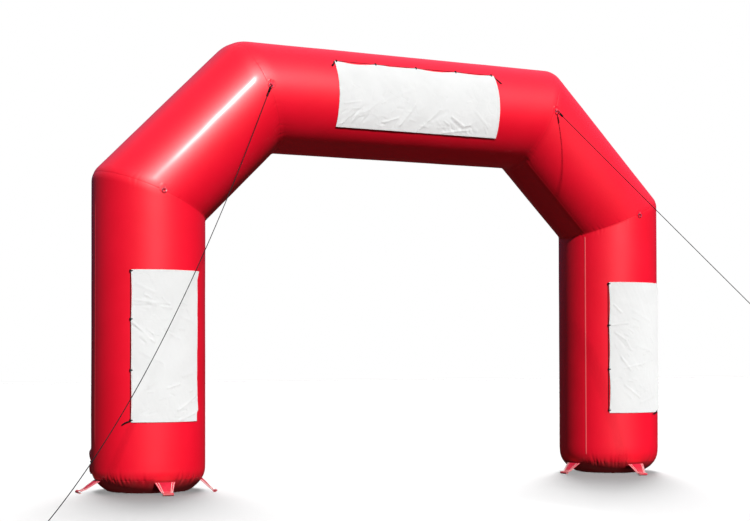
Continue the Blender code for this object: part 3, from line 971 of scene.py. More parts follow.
@dataclass(frozen=True)
class Hem:
    """Where a leg is gathered onto its base panel."""

    side: Side

    # Heights over the ground of the rows above the base seam
    HEIGHTS = (.1403, .143, .147, .152, .158, .165, .173, .182, .192, .203, .216, .23, .246, .264, .285,
               .31, .345, .39)
    # (height, radius) up each foot
    PROFILE = {
        Side.LEFT: ((0.0, .426), (.009, .444), (.03, .476), (.066, .518), (.093, .5425), (.115, .559),
                    (.14, .5738), (.162, .5842), (.19, .593), (.22, .598), (.3, SKIN_RADIUS),
                    (.4, SKIN_RADIUS)),
        Side.RIGHT: ((0.0, .37), (.01, .408), (.034, .452), (.065, .499), (.095, .53), (.125, .5535),
                     (.15, .5685), (.175, .58), (.205, .5895), (.24, .596), (.3, SKIN_RADIUS),
                     (.4, SKIN_RADIUS)),
    }
    SMOOTH = (-.012, -.006, .006, .012)
    TAB_FACETS = {Side.LEFT: (0, 10, 28, 42), Side.RIGHT: (0, 18, 28, 43)}
    TAB_HALF_ANGLE = 11.0
    SEEDS = {Side.LEFT: 5, Side.RIGHT: 11}
    PLEATS = 104
    DEEPEST = 0.017
    LONGEST = 0.08
    GROOVE = 0.0012
    GROOVE_WIDTH = 0.004
    SEAM_WIDTH = 0.01

    def pleats(self) -> tuple[Tuck, ...]:
        """The gathers, uneven, and flat behind each tab.

        Returns:
            The gathers, as tucks.
        """

        def weight(angle: float) -> float:
            """None behind a tab, in full 4 degrees beside it."""
            tabs = (self.side.facing * facets * 360.0 / TUBE_SIDES for facets in self.TAB_FACETS[self.side])
            away = min(abs((angle - tab + 180) % 360 - 180) for tab in tabs)
            return max(0.0, min(1.0, (away - self.TAB_HALF_ANGLE) / 4.0))

        return tucks_round(self.SEEDS[self.side], self.PLEATS, self.DEEPEST, self.LONGEST, weight)

    def radius(self, angle: Array, height: float) -> Array:
        """The skin's radius all round, at this height.

        Args:
            angle: Radians from the front.
            height: Metres over the ground.

        Returns:
            The radius at each angle.
        """
        heights, radii = zip(*self.PROFILE[self.side])
        base = float(np.interp(height, heights, radii))
        if 0.02 < height < 0.29:
            base = (2 * base + sum(float(np.interp(height + d, heights, radii)) for d in self.SMOOTH)) / 6
        away, above = abs(height - BASE_SEAM_Z), height > BASE_SEAM_Z
        radius = np.full_like(angle, base - self.GROOVE * bell(away, self.GROOVE_WIDTH))
        fade = 1.0 if above else (height / BASE_SEAM_Z) ** 0.5
        back = np.full_like(angle, away * (1.0 if above else 1.3))
        for pleat in self.pleats():
            radius = radius - pleat.depth_at(angle, back) * fade
        return radius

    def row(self, angle: Array, height: float) -> tuple[Array, Array, float]:
        """(distance along the wall, radius, seam mask) of the skin at this height."""
        mask = bell(height - BASE_SEAM_Z, self.SEAM_WIDTH)
        return np.full_like(angle, height), self.radius(angle, height), mask


@dataclass(frozen=True)
class Lap:
    """A sealed lap that runs along a length of tube, at an angle in degrees from the front, with a painted
    highlight as strong as `pale`.
    """

    angle: float
    low: float
    high: float
    # How strongly the lap's painted highlight shows
    pale: float = 1.0
    width: float = 0.022
    rise: float = 0.0016

    # Places of the skin's columns over it, as shares of its half width
    COLUMNS = (-1.5, -1.12, -.9, -.5, 0.0, .5, .9, 1.12, 1.5)

    def columns(self, turns: list[float]) -> list[float]:
        """These columns' angles, with the ones over the lap set closer together.

        Args:
            turns: The angles.

        Returns:
            The new angles.
        """
        middle, half = math.radians(self.angle) % math.tau, self.width / 2 / TUBE_RADIUS
        kept = [turn for turn in turns if abs(turn - middle) > half * 1.9]
        return kept + [middle + half * share for share in self.COLUMNS]

    def covers(self, turns: Array, distance: Array) -> Array:
        """Whether the lap covers these points of the wall."""
        off = np.abs(between(turns, math.radians(self.angle))) * TUBE_RADIUS
        return (off < self.width * 0.55) & (distance > self.low) & (distance < self.high)


@dataclass
class TubeSkin:
    """The cloth of one length of tube, in place of its CAD node."""

    node: str
    wall: Wall
    near: MitredEnd | Hem
    far: MitredEnd
    laps: tuple[Lap, ...]
    middle_rows: int
    columns: int = 392

    # (waves round, metres along, share) of the slack, whose waves stay under 1.5 mm
    WAVES = ((2, 1.9, .7), (3, 1.1, .5), (5, .67, .32), (8, .41, .2))
    WAVE_SIZE = 0.0009

    def angles(self) -> Array:
        """Angles of the columns, closer together over a lap."""
        turns = list(math.tau * (np.arange(self.columns) + 0.5) / self.columns)
        for lap in self.laps:
            turns = lap.columns(turns)
        return np.array(sorted(turns))

    def rows(self, angle: Array) -> tuple[Array, Array, Array]:
        """Every row of the skin.

        Args:
            angle: Angles of the columns.

        Returns:
            (distance along the wall, radius, seam mask) of each point.
        """
        steps = self.near.HEIGHTS if isinstance(self.near, Hem) else self.near.BACKS
        first = [self.near.row(angle, step) for step in steps]
        last = [self.far.row(angle, back) for back in self.far.BACKS[::-1]]
        low, high = first[-1][0], last[0][0]
        shares = (k / self.middle_rows for k in range(1, self.middle_rows))
        plain = np.full_like(angle, SKIN_RADIUS)
        middle = [(low + (high - low) * share, plain, 0.0) for share in shares]
        distance, radius, seam = zip(*first, *middle, *last)
        return np.array(distance), np.array(radius), np.array(seam)[:, None] * np.ones_like(angle)

    def build(self, looks: Wardrobe) -> Thing:
        """Makes the skin as an air filled piece.

        Args:
            looks: The materials.

        Returns:
            The piece.
        """
        angle = self.angles()
        distance, radius, seam = self.rows(angle)
        turns = np.broadcast_to(angle, distance.shape)
        # Where a lap lies, the skin is raised and the strength of its painted highlight is marked.
        lap_highlight = np.zeros_like(distance)
        for lap in self.laps:
            here = lap.covers(turns, distance)
            radius = radius + np.where(here, lap.rise, 0.0)
            lap_highlight = np.where(here, lap.pale, lap_highlight)
        radius = radius + self.slack(turns, distance) * np.clip(1.0 - seam * 2, 0, 1)
        wide = np.append(angle, angle[0] + math.tau) * TUBE_RADIUS
        flat = flat_cloth(wide, np.hstack([distance, distance[:, :1]]))
        points = self.wall.spot(turns, distance, radius)
        skin = lattice(f"{self.node}_skin", points, flat, cyclic=True, capped=True)
        mark(skin, "lap", lap_highlight)
        mark(skin, "seam", seam)
        dress(skin, looks.skin, "red_pvc", self.node)
        return skin

    def slack(self, angle: Array, distance: Array) -> Array:
        """Slow waves that no taut cloth is free of.

        Args:
            angle: Radians from the front.
            distance: Metres along the wall.

        Returns:
            Metres off the plain skin.
        """
        seed = sum(map(ord, self.node)) % 17
        wave = np.zeros_like(distance)
        for k, (turns, length, size) in enumerate(self.WAVES):
            wave += size * np.sin(turns * angle + seed + k) * np.sin(
                math.tau * distance / length + seed * (k + 1.7))
        return self.WAVE_SIZE * wave


@dataclass
class FootPanel:
    """The domed panel that a leg stands on."""

    side: Side
    columns: int = 392

    HEIGHTS = (0.0, .0015, .004, .009, .016, .024, .033, .043, .054, .065, .076, .086, .095, .103, .11, .116,
               .122, .127, .131, .135, .1375, .14)
    MEAN_RADIUS = 0.5
    SEAM_WIDTH = 0.008

    def build(self, looks: Wardrobe) -> Thing:
        """Makes the panel.

        Args:
            looks: The materials.

        Returns:
            The piece.
        """
        angle = math.tau * (np.arange(self.columns) + 0.5) / self.columns
        radius = np.array([Hem(self.side).radius(angle, height) for height in self.HEIGHTS])
        height = np.array(self.HEIGHTS)[:, None] * np.ones_like(angle)
        points = LEGS[self.side].spot(np.broadcast_to(angle, height.shape), height, radius)
        wide = np.append(angle, angle[0] + math.tau) * self.MEAN_RADIUS
        node = f"base_{self.side.value}"
        flat = flat_cloth(wide, np.array(self.HEIGHTS))
        piece = lattice(f"{node}_skin", points, flat, cyclic=True, capped=True)
        mark(piece, "seam", bell(height - BASE_SEAM_Z, self.SEAM_WIDTH))
        # The foot cloth's darker red is painted shade.
        dress(piece, looks.foot, "red_pvc", node)
        return piece


@dataclass
class AirTube:
    """The five lengths of tube and the two base panels."""

    knee_rounding: dict[Side, float] = field(default_factory=lambda: {Side.LEFT: 0.017, Side.RIGHT: 0.012})
    top_rounding: dict[Side, float] = field(default_factory=lambda: {Side.LEFT: 0.034, Side.RIGHT: 0.015})

    SLOPE_LENGTH = (TOP_Z - KNEE_Z) * math.sqrt(2)
    LEG_LAPS = {Side.LEFT: (Lap(85.0, 0.55, 3.05),), Side.RIGHT: (Lap(-61.4, 0.23, 2.85, 1.9, 0.014),)}
    SLOPE_LAPS = {Side.LEFT: (), Side.RIGHT: (Lap(-61.3, -0.2, SLOPE_LENGTH + 0.2, 0.12, 0.01, 0.0004),)}
    MIDDLE_ROWS = {"leg": 30, "diagonal": 18, "beam": 34}
    KNEE_SEED = 21
    TOP_SEED = 31
    TUCKS = 58
    DEEPEST = 0.0042

    def mitre(self, seam_at: float, toward: int, rounding: float, seed: int,
              second: bool = False) -> MitredEnd:
        """One side of a mitred seam, with tucks that grow toward its inner side.

        Args:
            seam_at: Where along the wall the axes meet.
            toward: 1 at the wall's far end, -1 at its start.
            rounding: How far the outer side is drawn in.
            seed: The seam's own number.
            second: Whether it is the seam's second side, whose tucks are shorter.

        Returns:
            The end.
        """

        def weight(angle: float) -> float:
            """Most at the inner side, 270 degrees on."""
            return 0.45 + 0.55 * max(0.0, -math.sin(math.radians(angle)))

        tucks = tucks_round(seed, self.TUCKS, self.DEEPEST, 0.085 if second else 0.1, weight)
        return MitredEnd(seam_at, toward, rounding, 0.018 if seed < self.TOP_SEED else 0.06, tucks)

    def build(self, looks: Wardrobe) -> list[Thing]:
        """Makes every length.

        Args:
            looks: The materials.

        Returns:
            The pieces.
        """
        made, rows, tops = [], self.MIDDLE_ROWS, self.top_rounding
        for number, side in enumerate(Side):
            knee, corner = self.KNEE_SEED + number, self.TOP_SEED + number
            up = self.mitre(KNEE_Z, 1, self.knee_rounding[side], knee)
            low = self.mitre(0.0, -1, self.knee_rounding[side], knee, second=True)
            high = self.mitre(self.SLOPE_LENGTH, 1, tops[side], corner)
            leg = TubeSkin(f"leg_{side.value}", LEGS[side], Hem(side), up, self.LEG_LAPS[side], rows["leg"])
            slope = TubeSkin(f"diagonal_{side.value}", slope_wall(side), low, high, self.SLOPE_LAPS[side],
                             rows["diagonal"])
            made += [part.build(looks) for part in (leg, slope, FootPanel(side))]
        first = self.mitre(-TOP_X, -1, tops[Side.LEFT], self.TOP_SEED, second=True)
        last = self.mitre(TOP_X, 1, tops[Side.RIGHT], self.TOP_SEED + 1, second=True)
        return [*made, TubeSkin("top_beam", BEAM, first, last, (), rows["beam"]).build(looks)]


# ---- anchor tabs ----


@dataclass(frozen=True)
class Tab:
    """A tapering strap sewn under a leg's hem, its tip folded into a loop on the ground.

    `facets` counts the leg's facets from the front toward +X.
    """

    facets: int
    reach: float
    aside: float
    loop_height: float

    ROOT_RADIUS = 0.5657
    ROOT_WIDTH = 0.225
    TIP_WIDTH = 0.112
    LOOP_LENGTH = 0.042
    LIFT = 0.0006
    THICKNESS = 0.0048
    CUP = 0.004
    HEM_RISE = 0.0007
    # (share of the way out, height) of the strap's middle line before its loop
    FALL = ((0.0, .119), (.14, .1075), (.3, .0905), (.52, .068), (.72, .0455), (.88, .0325))
    # Places of its stitch rows, as shares of its half width
    SEAMS = (-.9, -.66, .66, .9)
    STITCH_LIFT = 0.0012
    STITCH = (.0085, .0042, .0011)

    @property
    def tip(self) -> float:
        """How far out the loop starts."""
        return self.reach - self.LOOP_LENGTH / 2

    def side_line(self) -> Array:
        """The strap's middle line, from its root round the loop and back under it.

        Returns:
            Points as (out, up).
        """
        half, rise, deep = self.LOOP_LENGTH / 2, self.loop_height / 2, self.THICKNESS / 2
        run = self.tip - self.ROOT_RADIUS
        points = [(self.ROOT_RADIUS + run * share, height, 0.0) for share, height in self.FALL]
        for k in range(11):
            turn = math.radians(150 - 30 * k)
            out, up = (half - deep) * math.cos(turn), (rise - deep) * math.sin(turn)
            points.append((self.reach + out, self.LIFT + rise + up, 0.0))
        return curve_through(points, 0.006)[:, :2]

    def spot(self, side: Side, reach: Array, height: Array, across: Array) -> Array:
        """Points on the strap as it lies round its leg.

        Args:
            side: Its leg.
            reach: Metres out from the leg's axis.
            height: Metres over the ground.
            across: Places across it, from -1 to 1.

        Returns:
            The points.
        """
        turn = math.tau * self.facets / TUBE_SIDES
        out = np.array((math.sin(turn), -math.cos(turn), 0.0))
        beside = np.array((math.cos(turn), math.sin(turn), 0.0))
        share = np.clip((reach - self.ROOT_RADIUS) / (self.tip - self.ROOT_RADIUS), 0, 1)
        narrow = 1 + (self.TIP_WIDTH / self.ROOT_WIDTH - 1) * share
        angle = math.asin(self.ROOT_WIDTH / 2 / self.ROOT_RADIUS) * across
        bow = self.ROOT_RADIUS * (np.cos(angle) - 1) * (1 - share)
        cup = self.CUP * np.sin(np.pi * share) * (1 - across**2)
        sideways = self.ROOT_RADIUS * np.sin(angle) * narrow + self.aside * share
        place = LEGS[side].start + (reach + bow)[..., None] * out + sideways[..., None] * beside
        return place + (height + cup)[..., None] * UP

    def build(self, side: Side, number: int, looks: Wardrobe) -> list[Thing]:
        """Makes the strap and its stitching.

        Args:
            side: Its leg.
            number: Its number on the leg.
            looks: The materials.

        Returns:
            The strap and its stitches.
        """
        line, steps = self.side_line(), np.linspace(-1, 1, 21)
        edge = np.abs(steps)
        thick = self.THICKNESS / 2 * (1 - 0.45 * edge**14) + self.HEM_RISE * ((edge > 0.72) & (edge < 0.96))
        across, reach, height = strap_section(line, steps, thick)
        points = self.spot(side, reach, np.maximum(height, 0.0002), np.broadcast_to(across, reach.shape))
        flat = flat_cloth(np.append(across, across[0]) * self.TIP_WIDTH, run_along(line))
        name = f"anchor_tab_{side.value}_{number}"
        strap = lattice(f"{name}_strap", points, flat, cyclic=True, capped=True, sharp=60.0)
        mark(strap, "rim", np.broadcast_to(np.abs(across) ** 6, reach.shape))
        dress(strap, looks.strap, "red_pvc", name)
        straight = int(np.argmax(line[:, 0] > self.tip - 0.004))
        seat = line + left_of(line) * (self.THICKNESS / 2 + self.STITCH_LIFT)
        long = seat[2:straight]
        rows = [self.spot(side, long[:, 0], long[:, 1], np.full(len(long), seam)) for seam in self.SEAMS]
        for at in (straight - 5, straight - 1):
            out, up = (np.full(20, seat[at, k]) for k in (0, 1))
            rows.append(self.spot(side, out, up, np.linspace(-0.62, 0.62, 20)))
        stitches = zigzag(f"{name}_stitches", rows, *self.STITCH)
        return [strap, dress(stitches, looks.thread, "red_webbing")]


def zigzag(name: str, rows: Sequence[Array], width: float, pitch: float, thick: float) -> Thing:
    """Rows of zigzag stitches that lie along lines, as one mesh of small bars.

    Args:
        name: The piece's name.
        rows: The lines they follow.
        width: From one side of a row to the other.
        pitch: Along the row for one stitch.
        thick: The thread's thickness.

    Returns:
        The stitches.
    """
    # Corners of one bar: along it, across it and up
    section = ((-.6, -.5), (.6, -.5), (.42, .5), (-.42, .5))
    corners = [(u, v, w) for u in (-.04, 1.04) for v, w in section]
    quads = ((0, 3, 2, 1), (4, 5, 6, 7), (0, 1, 5, 4), (1, 2, 6, 5), (2, 3, 7, 6), (3, 0, 4, 7))
    points, faces = [], []
    for row in rows:
        line = curve_through(row, pitch)
        for k, (a, b) in enumerate(zip(line, line[1:])):
            ahead = unit(b - a)
            side = unit(np.cross(ahead, UP))
            lift = np.cross(side, ahead)
            swing = side * width * (1 if k % 2 else -1)
            start, reach = a - swing / 2, (b - a) + swing
            length = np.linalg.norm(reach)
            along, level = reach / length, np.cross(lift, reach / length)
            first = len(points)
            for u, v, w in corners:
                spot = start + along * length * u + level * thick * v + lift * thick * w
                points.append(spot.tolist())
            faces += [[first + i for i in quad] for quad in quads]
    mesh = bpy.data.meshes.new(name)
    mesh.from_pydata(points, [], faces)
    turn_outward(mesh)
    mesh.shade_smooth()
    return put(name, mesh)


@dataclass
class AnchorTabs:
    """The eight tabs."""

    rows: dict[Side, tuple[Tab, ...]] = field(default_factory=lambda: {
        Side.LEFT: (Tab(0, 0.8, -0.048, 0.031), Tab(10, 0.729, -0.231, 0.021), Tab(28, 0.805, 0.0, 0.031),
                    Tab(42, 0.775, 0.07, 0.033)),
        Side.RIGHT: (Tab(0, 0.815, -0.085, 0.028), Tab(18, 0.779, 0.0, 0.031), Tab(28, 0.8, 0.0, 0.031),
                     Tab(43, 0.775, 0.08, 0.028)),
    })

    def build(self, looks: Wardrobe) -> list[Thing]:
        """Makes every tab."""
        return [part for side, tabs in self.rows.items() for number, tab in enumerate(tabs)
                for part in tab.build(side, number, looks)]


# ---- D rings and guy ropes ----

# (x, z) of each ring's bar, and how far in front of the arch's middle plane it is
BARS = {"knee_left": (-2.976, 3.142), "top_left": (-1.785, 4.315), "top_right": (1.82, 4.292),
        "knee_right": (3.0, 3.126)}
BAR_OUT = 0.60796


def bar_of(name: str) -> Array:
    """The middle of a ring's bar."""
    x, z = BARS[name]
    return np.array((x, -BAR_OUT, z))


@dataclass
class RingMount:
    """A D ring that hangs this way from its bar, held by a strap keeper on a round patch."""

    name: str
    hang: Array

    WIRE = 0.006
    HALF_WIDTH = 0.021
    CORNER = 0.007
    REACH = 0.037
    PATCH_RADIUS = 0.05
    PATCH_UP = 0.0104
    PATCH_THICKNESS = 0.0012
    # (thickness, depth) of the insets that press the patch's rim and divide its face
    INSETS = ((.004, .0007), (.002, -.0003), *(((.008, 0.0),) * 4))
    KEEPER_WIDTH = 0.026
    KEEPER_THICKNESS = 0.001
    # (down the tube, out from it) before and after the keeper's turn round the bar
    KEEPER_UNDER = ((-.026, -.0052), (-.018, -.005), (-.011, -.0042))
    KEEPER_OVER = ((-.01, .0022), (-.017, -.0012), (-.0255, -.0022))
    KEEPER_TURN = WIRE / 2 + 0.0009 + 0.0012

    def axes(self) -> tuple[Array, Array]:
        """(along the bar, down the tube from it)."""
        across = unit(np.cross(self.hang, FRONT))
        return across, np.cross(FRONT, across)

    def build(self, looks: Wardrobe) -> list[Thing]:
        """Makes the patch, the keeper and the ring."""
        return [self.patch(looks), self.keeper(looks), self.ring(looks)]

    def patch(self, looks: Wardrobe) -> Thing:
        """Makes a disc of cloth with a pressed rim, laid on the tube.

        Args:
            looks: The materials.

        Returns:
            The patch.
        """
        across, down = self.axes()
        bpy.ops.object.select_all(action="DESELECT")
        bpy.ops.mesh.primitive_circle_add(vertices=48, radius=self.PATCH_RADIUS, fill_type="NGON")
        disc = bpy.context.active_object
        bpy.ops.object.mode_set(mode="EDIT")
        bpy.ops.mesh.select_all(action="SELECT")
        for thickness, depth in self.INSETS:
            bpy.ops.mesh.inset(thickness=thickness, depth=depth)
        bpy.ops.object.mode_set(mode="OBJECT")
        middle = bar_of(self.name) - down * self.PATCH_UP
        for vertex in disc.data.vertices:
            u, v, w = vertex.co
            x, _, z = middle + across * u + down * v
            vertex.co = (x, -self.tube_front(x, z) - self.PATCH_THICKNESS - w, z)
        choose([disc])
        wall = disc.modifiers.new("thickness", "SOLIDIFY")
        wall.thickness, wall.offset = self.PATCH_THICKNESS, -1.0
        bpy.ops.object.modifier_apply(modifier=wall.name)
        turn_outward(disc.data)
        piece = joined(f"ring_patch_{self.name}_cloth", [disc])
        bpy.ops.object.shade_smooth_by_angle(angle=math.radians(40))
        mark(piece, "rim", np.zeros(1))
        return dress(piece, looks.sleeve, "red_pvc", f"ring_patch_{self.name}")

    def tube_front(self, x: float, z: float) -> float:
        """How far in front of the arch's middle plane the tube's surface is.

        Args:
            x: Metres to the right.
            z: Metres up.

        Returns:
            Metres.
        """
        side, place = Side.at(x), np.array((x, 0.0, z))
        leg, slope = LEGS[side], slope_wall(side)
        if self.name.startswith("top"):
            wall = slope if abs(x) > TOP_X else BEAM
        else:
            wall = slope if z - KNEE_Z > (place - leg.start) @ leg.turn * MITRE_SLOPE else leg
        off = float((place - wall.start) @ wall.turn)
        return math.sqrt(SKIN_RADIUS**2 - min(off * off, 0.3))

    def keeper(self, looks: Wardrobe) -> Thing:
        """Makes a strap, doubled round the bar and sewn down above it.

        Args:
            looks: The materials.

        Returns:
            The keeper.
        """
        across, down = self.axes()
        turns = (math.radians(-130 + 37 * k) for k in range(8))
        bend = [(self.KEEPER_TURN * math.cos(turn), self.KEEPER_TURN * math.sin(turn)) for turn in turns]
        path = [(out, up, 0.0) for out, up in (*self.KEEPER_UNDER, *bend, *self.KEEPER_OVER)]
        line, steps = curve_through(path, 0.0016)[:, :2], np.linspace(-1, 1, 9)
        thick = self.KEEPER_THICKNESS * (1 - 0.5 * np.abs(steps) ** 8)
        places, out, up = strap_section(line, steps, -thick)
        wide = places * self.KEEPER_WIDTH / 2
        points = bar_of(self.name) + out[..., None] * down + up[..., None] * FRONT + wide[:, None] * across
        flat = flat_cloth(np.append(wide, wide[0]), run_along(line))
        name = f"ring_keeper_{self.name}"
        strap = lattice(f"{name}_strap", points, flat, cyclic=True, capped=True)
        mark(strap, "rim", np.broadcast_to(np.abs(places) ** 6, out.shape))
        return dress(strap, looks.strap, "red_webbing", name)

    def ring(self, looks: Wardrobe) -> Thing:
        """Makes the wire, bent to a D.

        Args:
            looks: The materials.

        Returns:
            The ring.
        """
        across, _ = self.axes()
        half, corner = self.HALF_WIDTH, self.CORNER
        arc = [math.pi / 2 * k / 4 for k in range(5)]
        right = [(half - corner + corner * math.sin(t), corner - corner * math.cos(t)) for t in arc]
        arc = [math.pi * k / 14 for k in range(15)]
        bow = [(half * math.cos(t), self.REACH - half + half * math.sin(t)) for t in arc]
        outline = right + bow + [(-x, y) for x, y in reversed(right)]
        path = np.array([bar_of(self.name) + across * u + self.hang * v for u, v in outline])
        wire = Cord(self.WIRE, sides=14).follow(f"d_ring_{self.name}_wire", path, closed=True)
        return dress(wire, looks.steel, "zinc_steel", f"d_ring_{self.name}")


@dataclass
class GuyRope:
    """A rope from a top ring to its ground eye.

    `sag` is how far it hangs below the straight line at half length, `low` how much lower than half way it
    hangs most, and `length`, from the knot to the eye, is not used.
    """

    side: Side
    end: Point
    sag: float
    low: float
    length: float
    lay: str

    DIAMETER = 0.008
    STRANDS = 3
    STRAND_LAY = 0.042
    KNOT_REACH = 0.122
    KNOT_LOOP = 0.016
    KNOT_TURNS = 5.5
    EYE_REACH = 0.15
    EYE_LOOP = 0.042
    EYE_TURNS = 6.5
    EYE_OVERLAP = 0.05

    def point(self, share: float) -> Array:
        """A point on the rope's line.

        Args:
            share: Of the way from its ring's bar to its ground end.

        Returns:
            The point.
        """
        start, end = bar_of(f"top_{self.side.value}"), np.array(self.end)
        drop = 4 * self.sag * share * (1 - share) * (1 + self.low * (share - 0.5))
        return start + (end - start) * share - UP * drop

    def share_at(self, reach: float, from_end: bool = False) -> float:
        """The share of the way along at this distance from one of its ends.

        Args:
            reach: Metres from the end.
            from_end: Whether that is the ground end.

        Returns:
            The share.
        """
        end = self.point(float(from_end))
        near, far = (1.0, .5) if from_end else (0.0, .5)
        for _ in range(40):
            middle = (near + far) / 2
            inside = np.linalg.norm(self.point(middle) - end) < reach
            near, far = (middle, far) if inside else (near, middle)
        return near

    def pull(self) -> Array:
        """The direction in which it leaves its ring."""
        return unit(self.point(self.share_at(self.KNOT_REACH)) - self.point(0.0))

    def build(self, looks: Wardrobe) -> list[Thing]:
        """Args:
            looks: The materials.

        Returns:
            The pieces.
        """
        first, last = self.share_at(self.KNOT_REACH), self.share_at(self.EYE_REACH, from_end=True)
        inside = self.share_at(self.EYE_REACH - self.EYE_OVERLAP, from_end=True)
        path = np.array([self.point(share) for share in np.linspace(first, inside, 1180)])
        rope = Cord(self.DIAMETER, 12, self.STRANDS, self.STRAND_LAY, 0.2).follow(
            f"guy_rope_{self.side.value}_laid", path)
        pull, back = self.pull(), unit(self.point(last) - self.point(1.0))
        knot = self.knot(f"rope_knot_{self.side.value}_wound", self.point(0.0) + pull * RingMount.REACH, pull,
                         unit(np.cross(pull, FRONT)), self.KNOT_LOOP,
                         self.KNOT_REACH - RingMount.REACH - GAP, self.KNOT_TURNS)
        eye = self.knot(f"rope_end_{self.side.value}_wound", self.point(1.0), back,
                        unit(np.cross(np.cross(back, UP), back)), self.EYE_LOOP, self.EYE_REACH - GAP,
                        self.EYE_TURNS)
        made = [rope, knot, eye]
        for piece in made:
            dress(piece, looks.rope, "black_cord", piece.name.rpartition("_")[0])
        return made

    def knot(self, name: str, hook: Array, way: Array, aside: Array, loop: float, reach: float,
             turns: float) -> Thing:
        """A loop round a bar, whipped tight where it closes.

        Args:
            name: The piece's name.
            hook: Where the bar is.
            way: From the hook toward the rope.
            aside: Along the bar.
            loop: The loop's radius.
            reach: From the hook to the whipping's end.
            turns: Turns of the whipping.

        Returns:
            The knot.
        """
        level = np.cross(aside, way)
        centre = hook + way * (loop - self.DIAMETER / 2 - RingMount.WIRE / 2 - GAP)
        turn = np.linspace(0, math.tau, 29)[:-1, None]
        ring = centre + (way * np.cos(turn) + level * np.sin(turn)) * loop
        start = centre + way * (loop - self.DIAMETER * 0.2)
        length = reach - np.linalg.norm(start - hook)
        core = start + way * length * np.linspace(0, 1, 6)[:, None]
        steps = np.linspace(0.02, 0.94, int(turns * 14))[:, None]
        spin, bulge = steps * turns * math.tau, 0.0088 + 0.0008 * np.sin(np.pi * steps)
        coil = start + way * (length * steps) + (aside * np.cos(spin) + level * np.sin(spin)) * bulge
        strands, lay = self.STRANDS, self.STRAND_LAY
        return joined(name, [
            Cord(self.DIAMETER, 10, strands, lay, 0.18).follow(f"{name}_loop", ring, closed=True),
            Cord(self.DIAMETER, 8).follow(f"{name}_core", core),
            Cord(self.DIAMETER * 0.96, 8, strands, lay, 0.16).follow(f"{name}_coil", coil),
        ])


# ---- banners ----


@dataclass(frozen=True)
class Fold:
    """A soft ridge, or a trough if its height is negative, in metres from the laced edge and the low end."""

    across: float
    along: float
    to_across: float
    to_along: float
    height: float
    width: float = 0.045

    def near(self, x: Array, y: Array) -> Array:
        """1 on the fold's line, fading to 0 beside it and past its ends.

        Args:
            x: Metres from the laced edge.
            y: Metres from the low end.

        Returns:
            The share at each point.
        """
        run = np.array((self.to_across - self.across, self.to_along - self.along))
        share = np.clip(((x - self.across) * run[0] + (y - self.along) * run[1]) / (run @ run), 0, 1)
        return bell(np.hypot(x - self.across - run[0] * share, y - self.along - run[1] * share), self.width)


def folds(*rows: tuple) -> tuple[Fold, ...]:
    """A fold for each row."""
    return tuple(Fold(*row) for row in rows)


def crinkles(seed: int, count: int, across: tuple[float, float], along: tuple[float, float],
             lean: float) -> tuple[Fold, ...]:
    """Short uneven creases strewn over a part of a sheet.

    Args:
        seed: For the same creases each run.
        count: How many.
        across: From and to, in metres from the laced edge.
        along: From and to, in metres from the low end.
        lean: The way most of them run, in degrees from across.

    Returns:
        The creases.
    """
    dice = random.Random(seed)
    made = []
    for _ in range(count):
        x, y = dice.uniform(*across), dice.uniform(*along)
        turn, reach = math.radians(lean + dice.uniform(-32.0, 32.0)), dice.uniform(0.03, 0.1)
        size = dice.choice((-1.0, 1.0, 1.0)) * dice.uniform(0.001, 0.0026)
        width = dice.uniform(0.008, 0.012)
        made.append(Fold(x, y, x + reach * math.cos(turn), y + reach * math.sin(turn), size, width))
    return tuple(made)


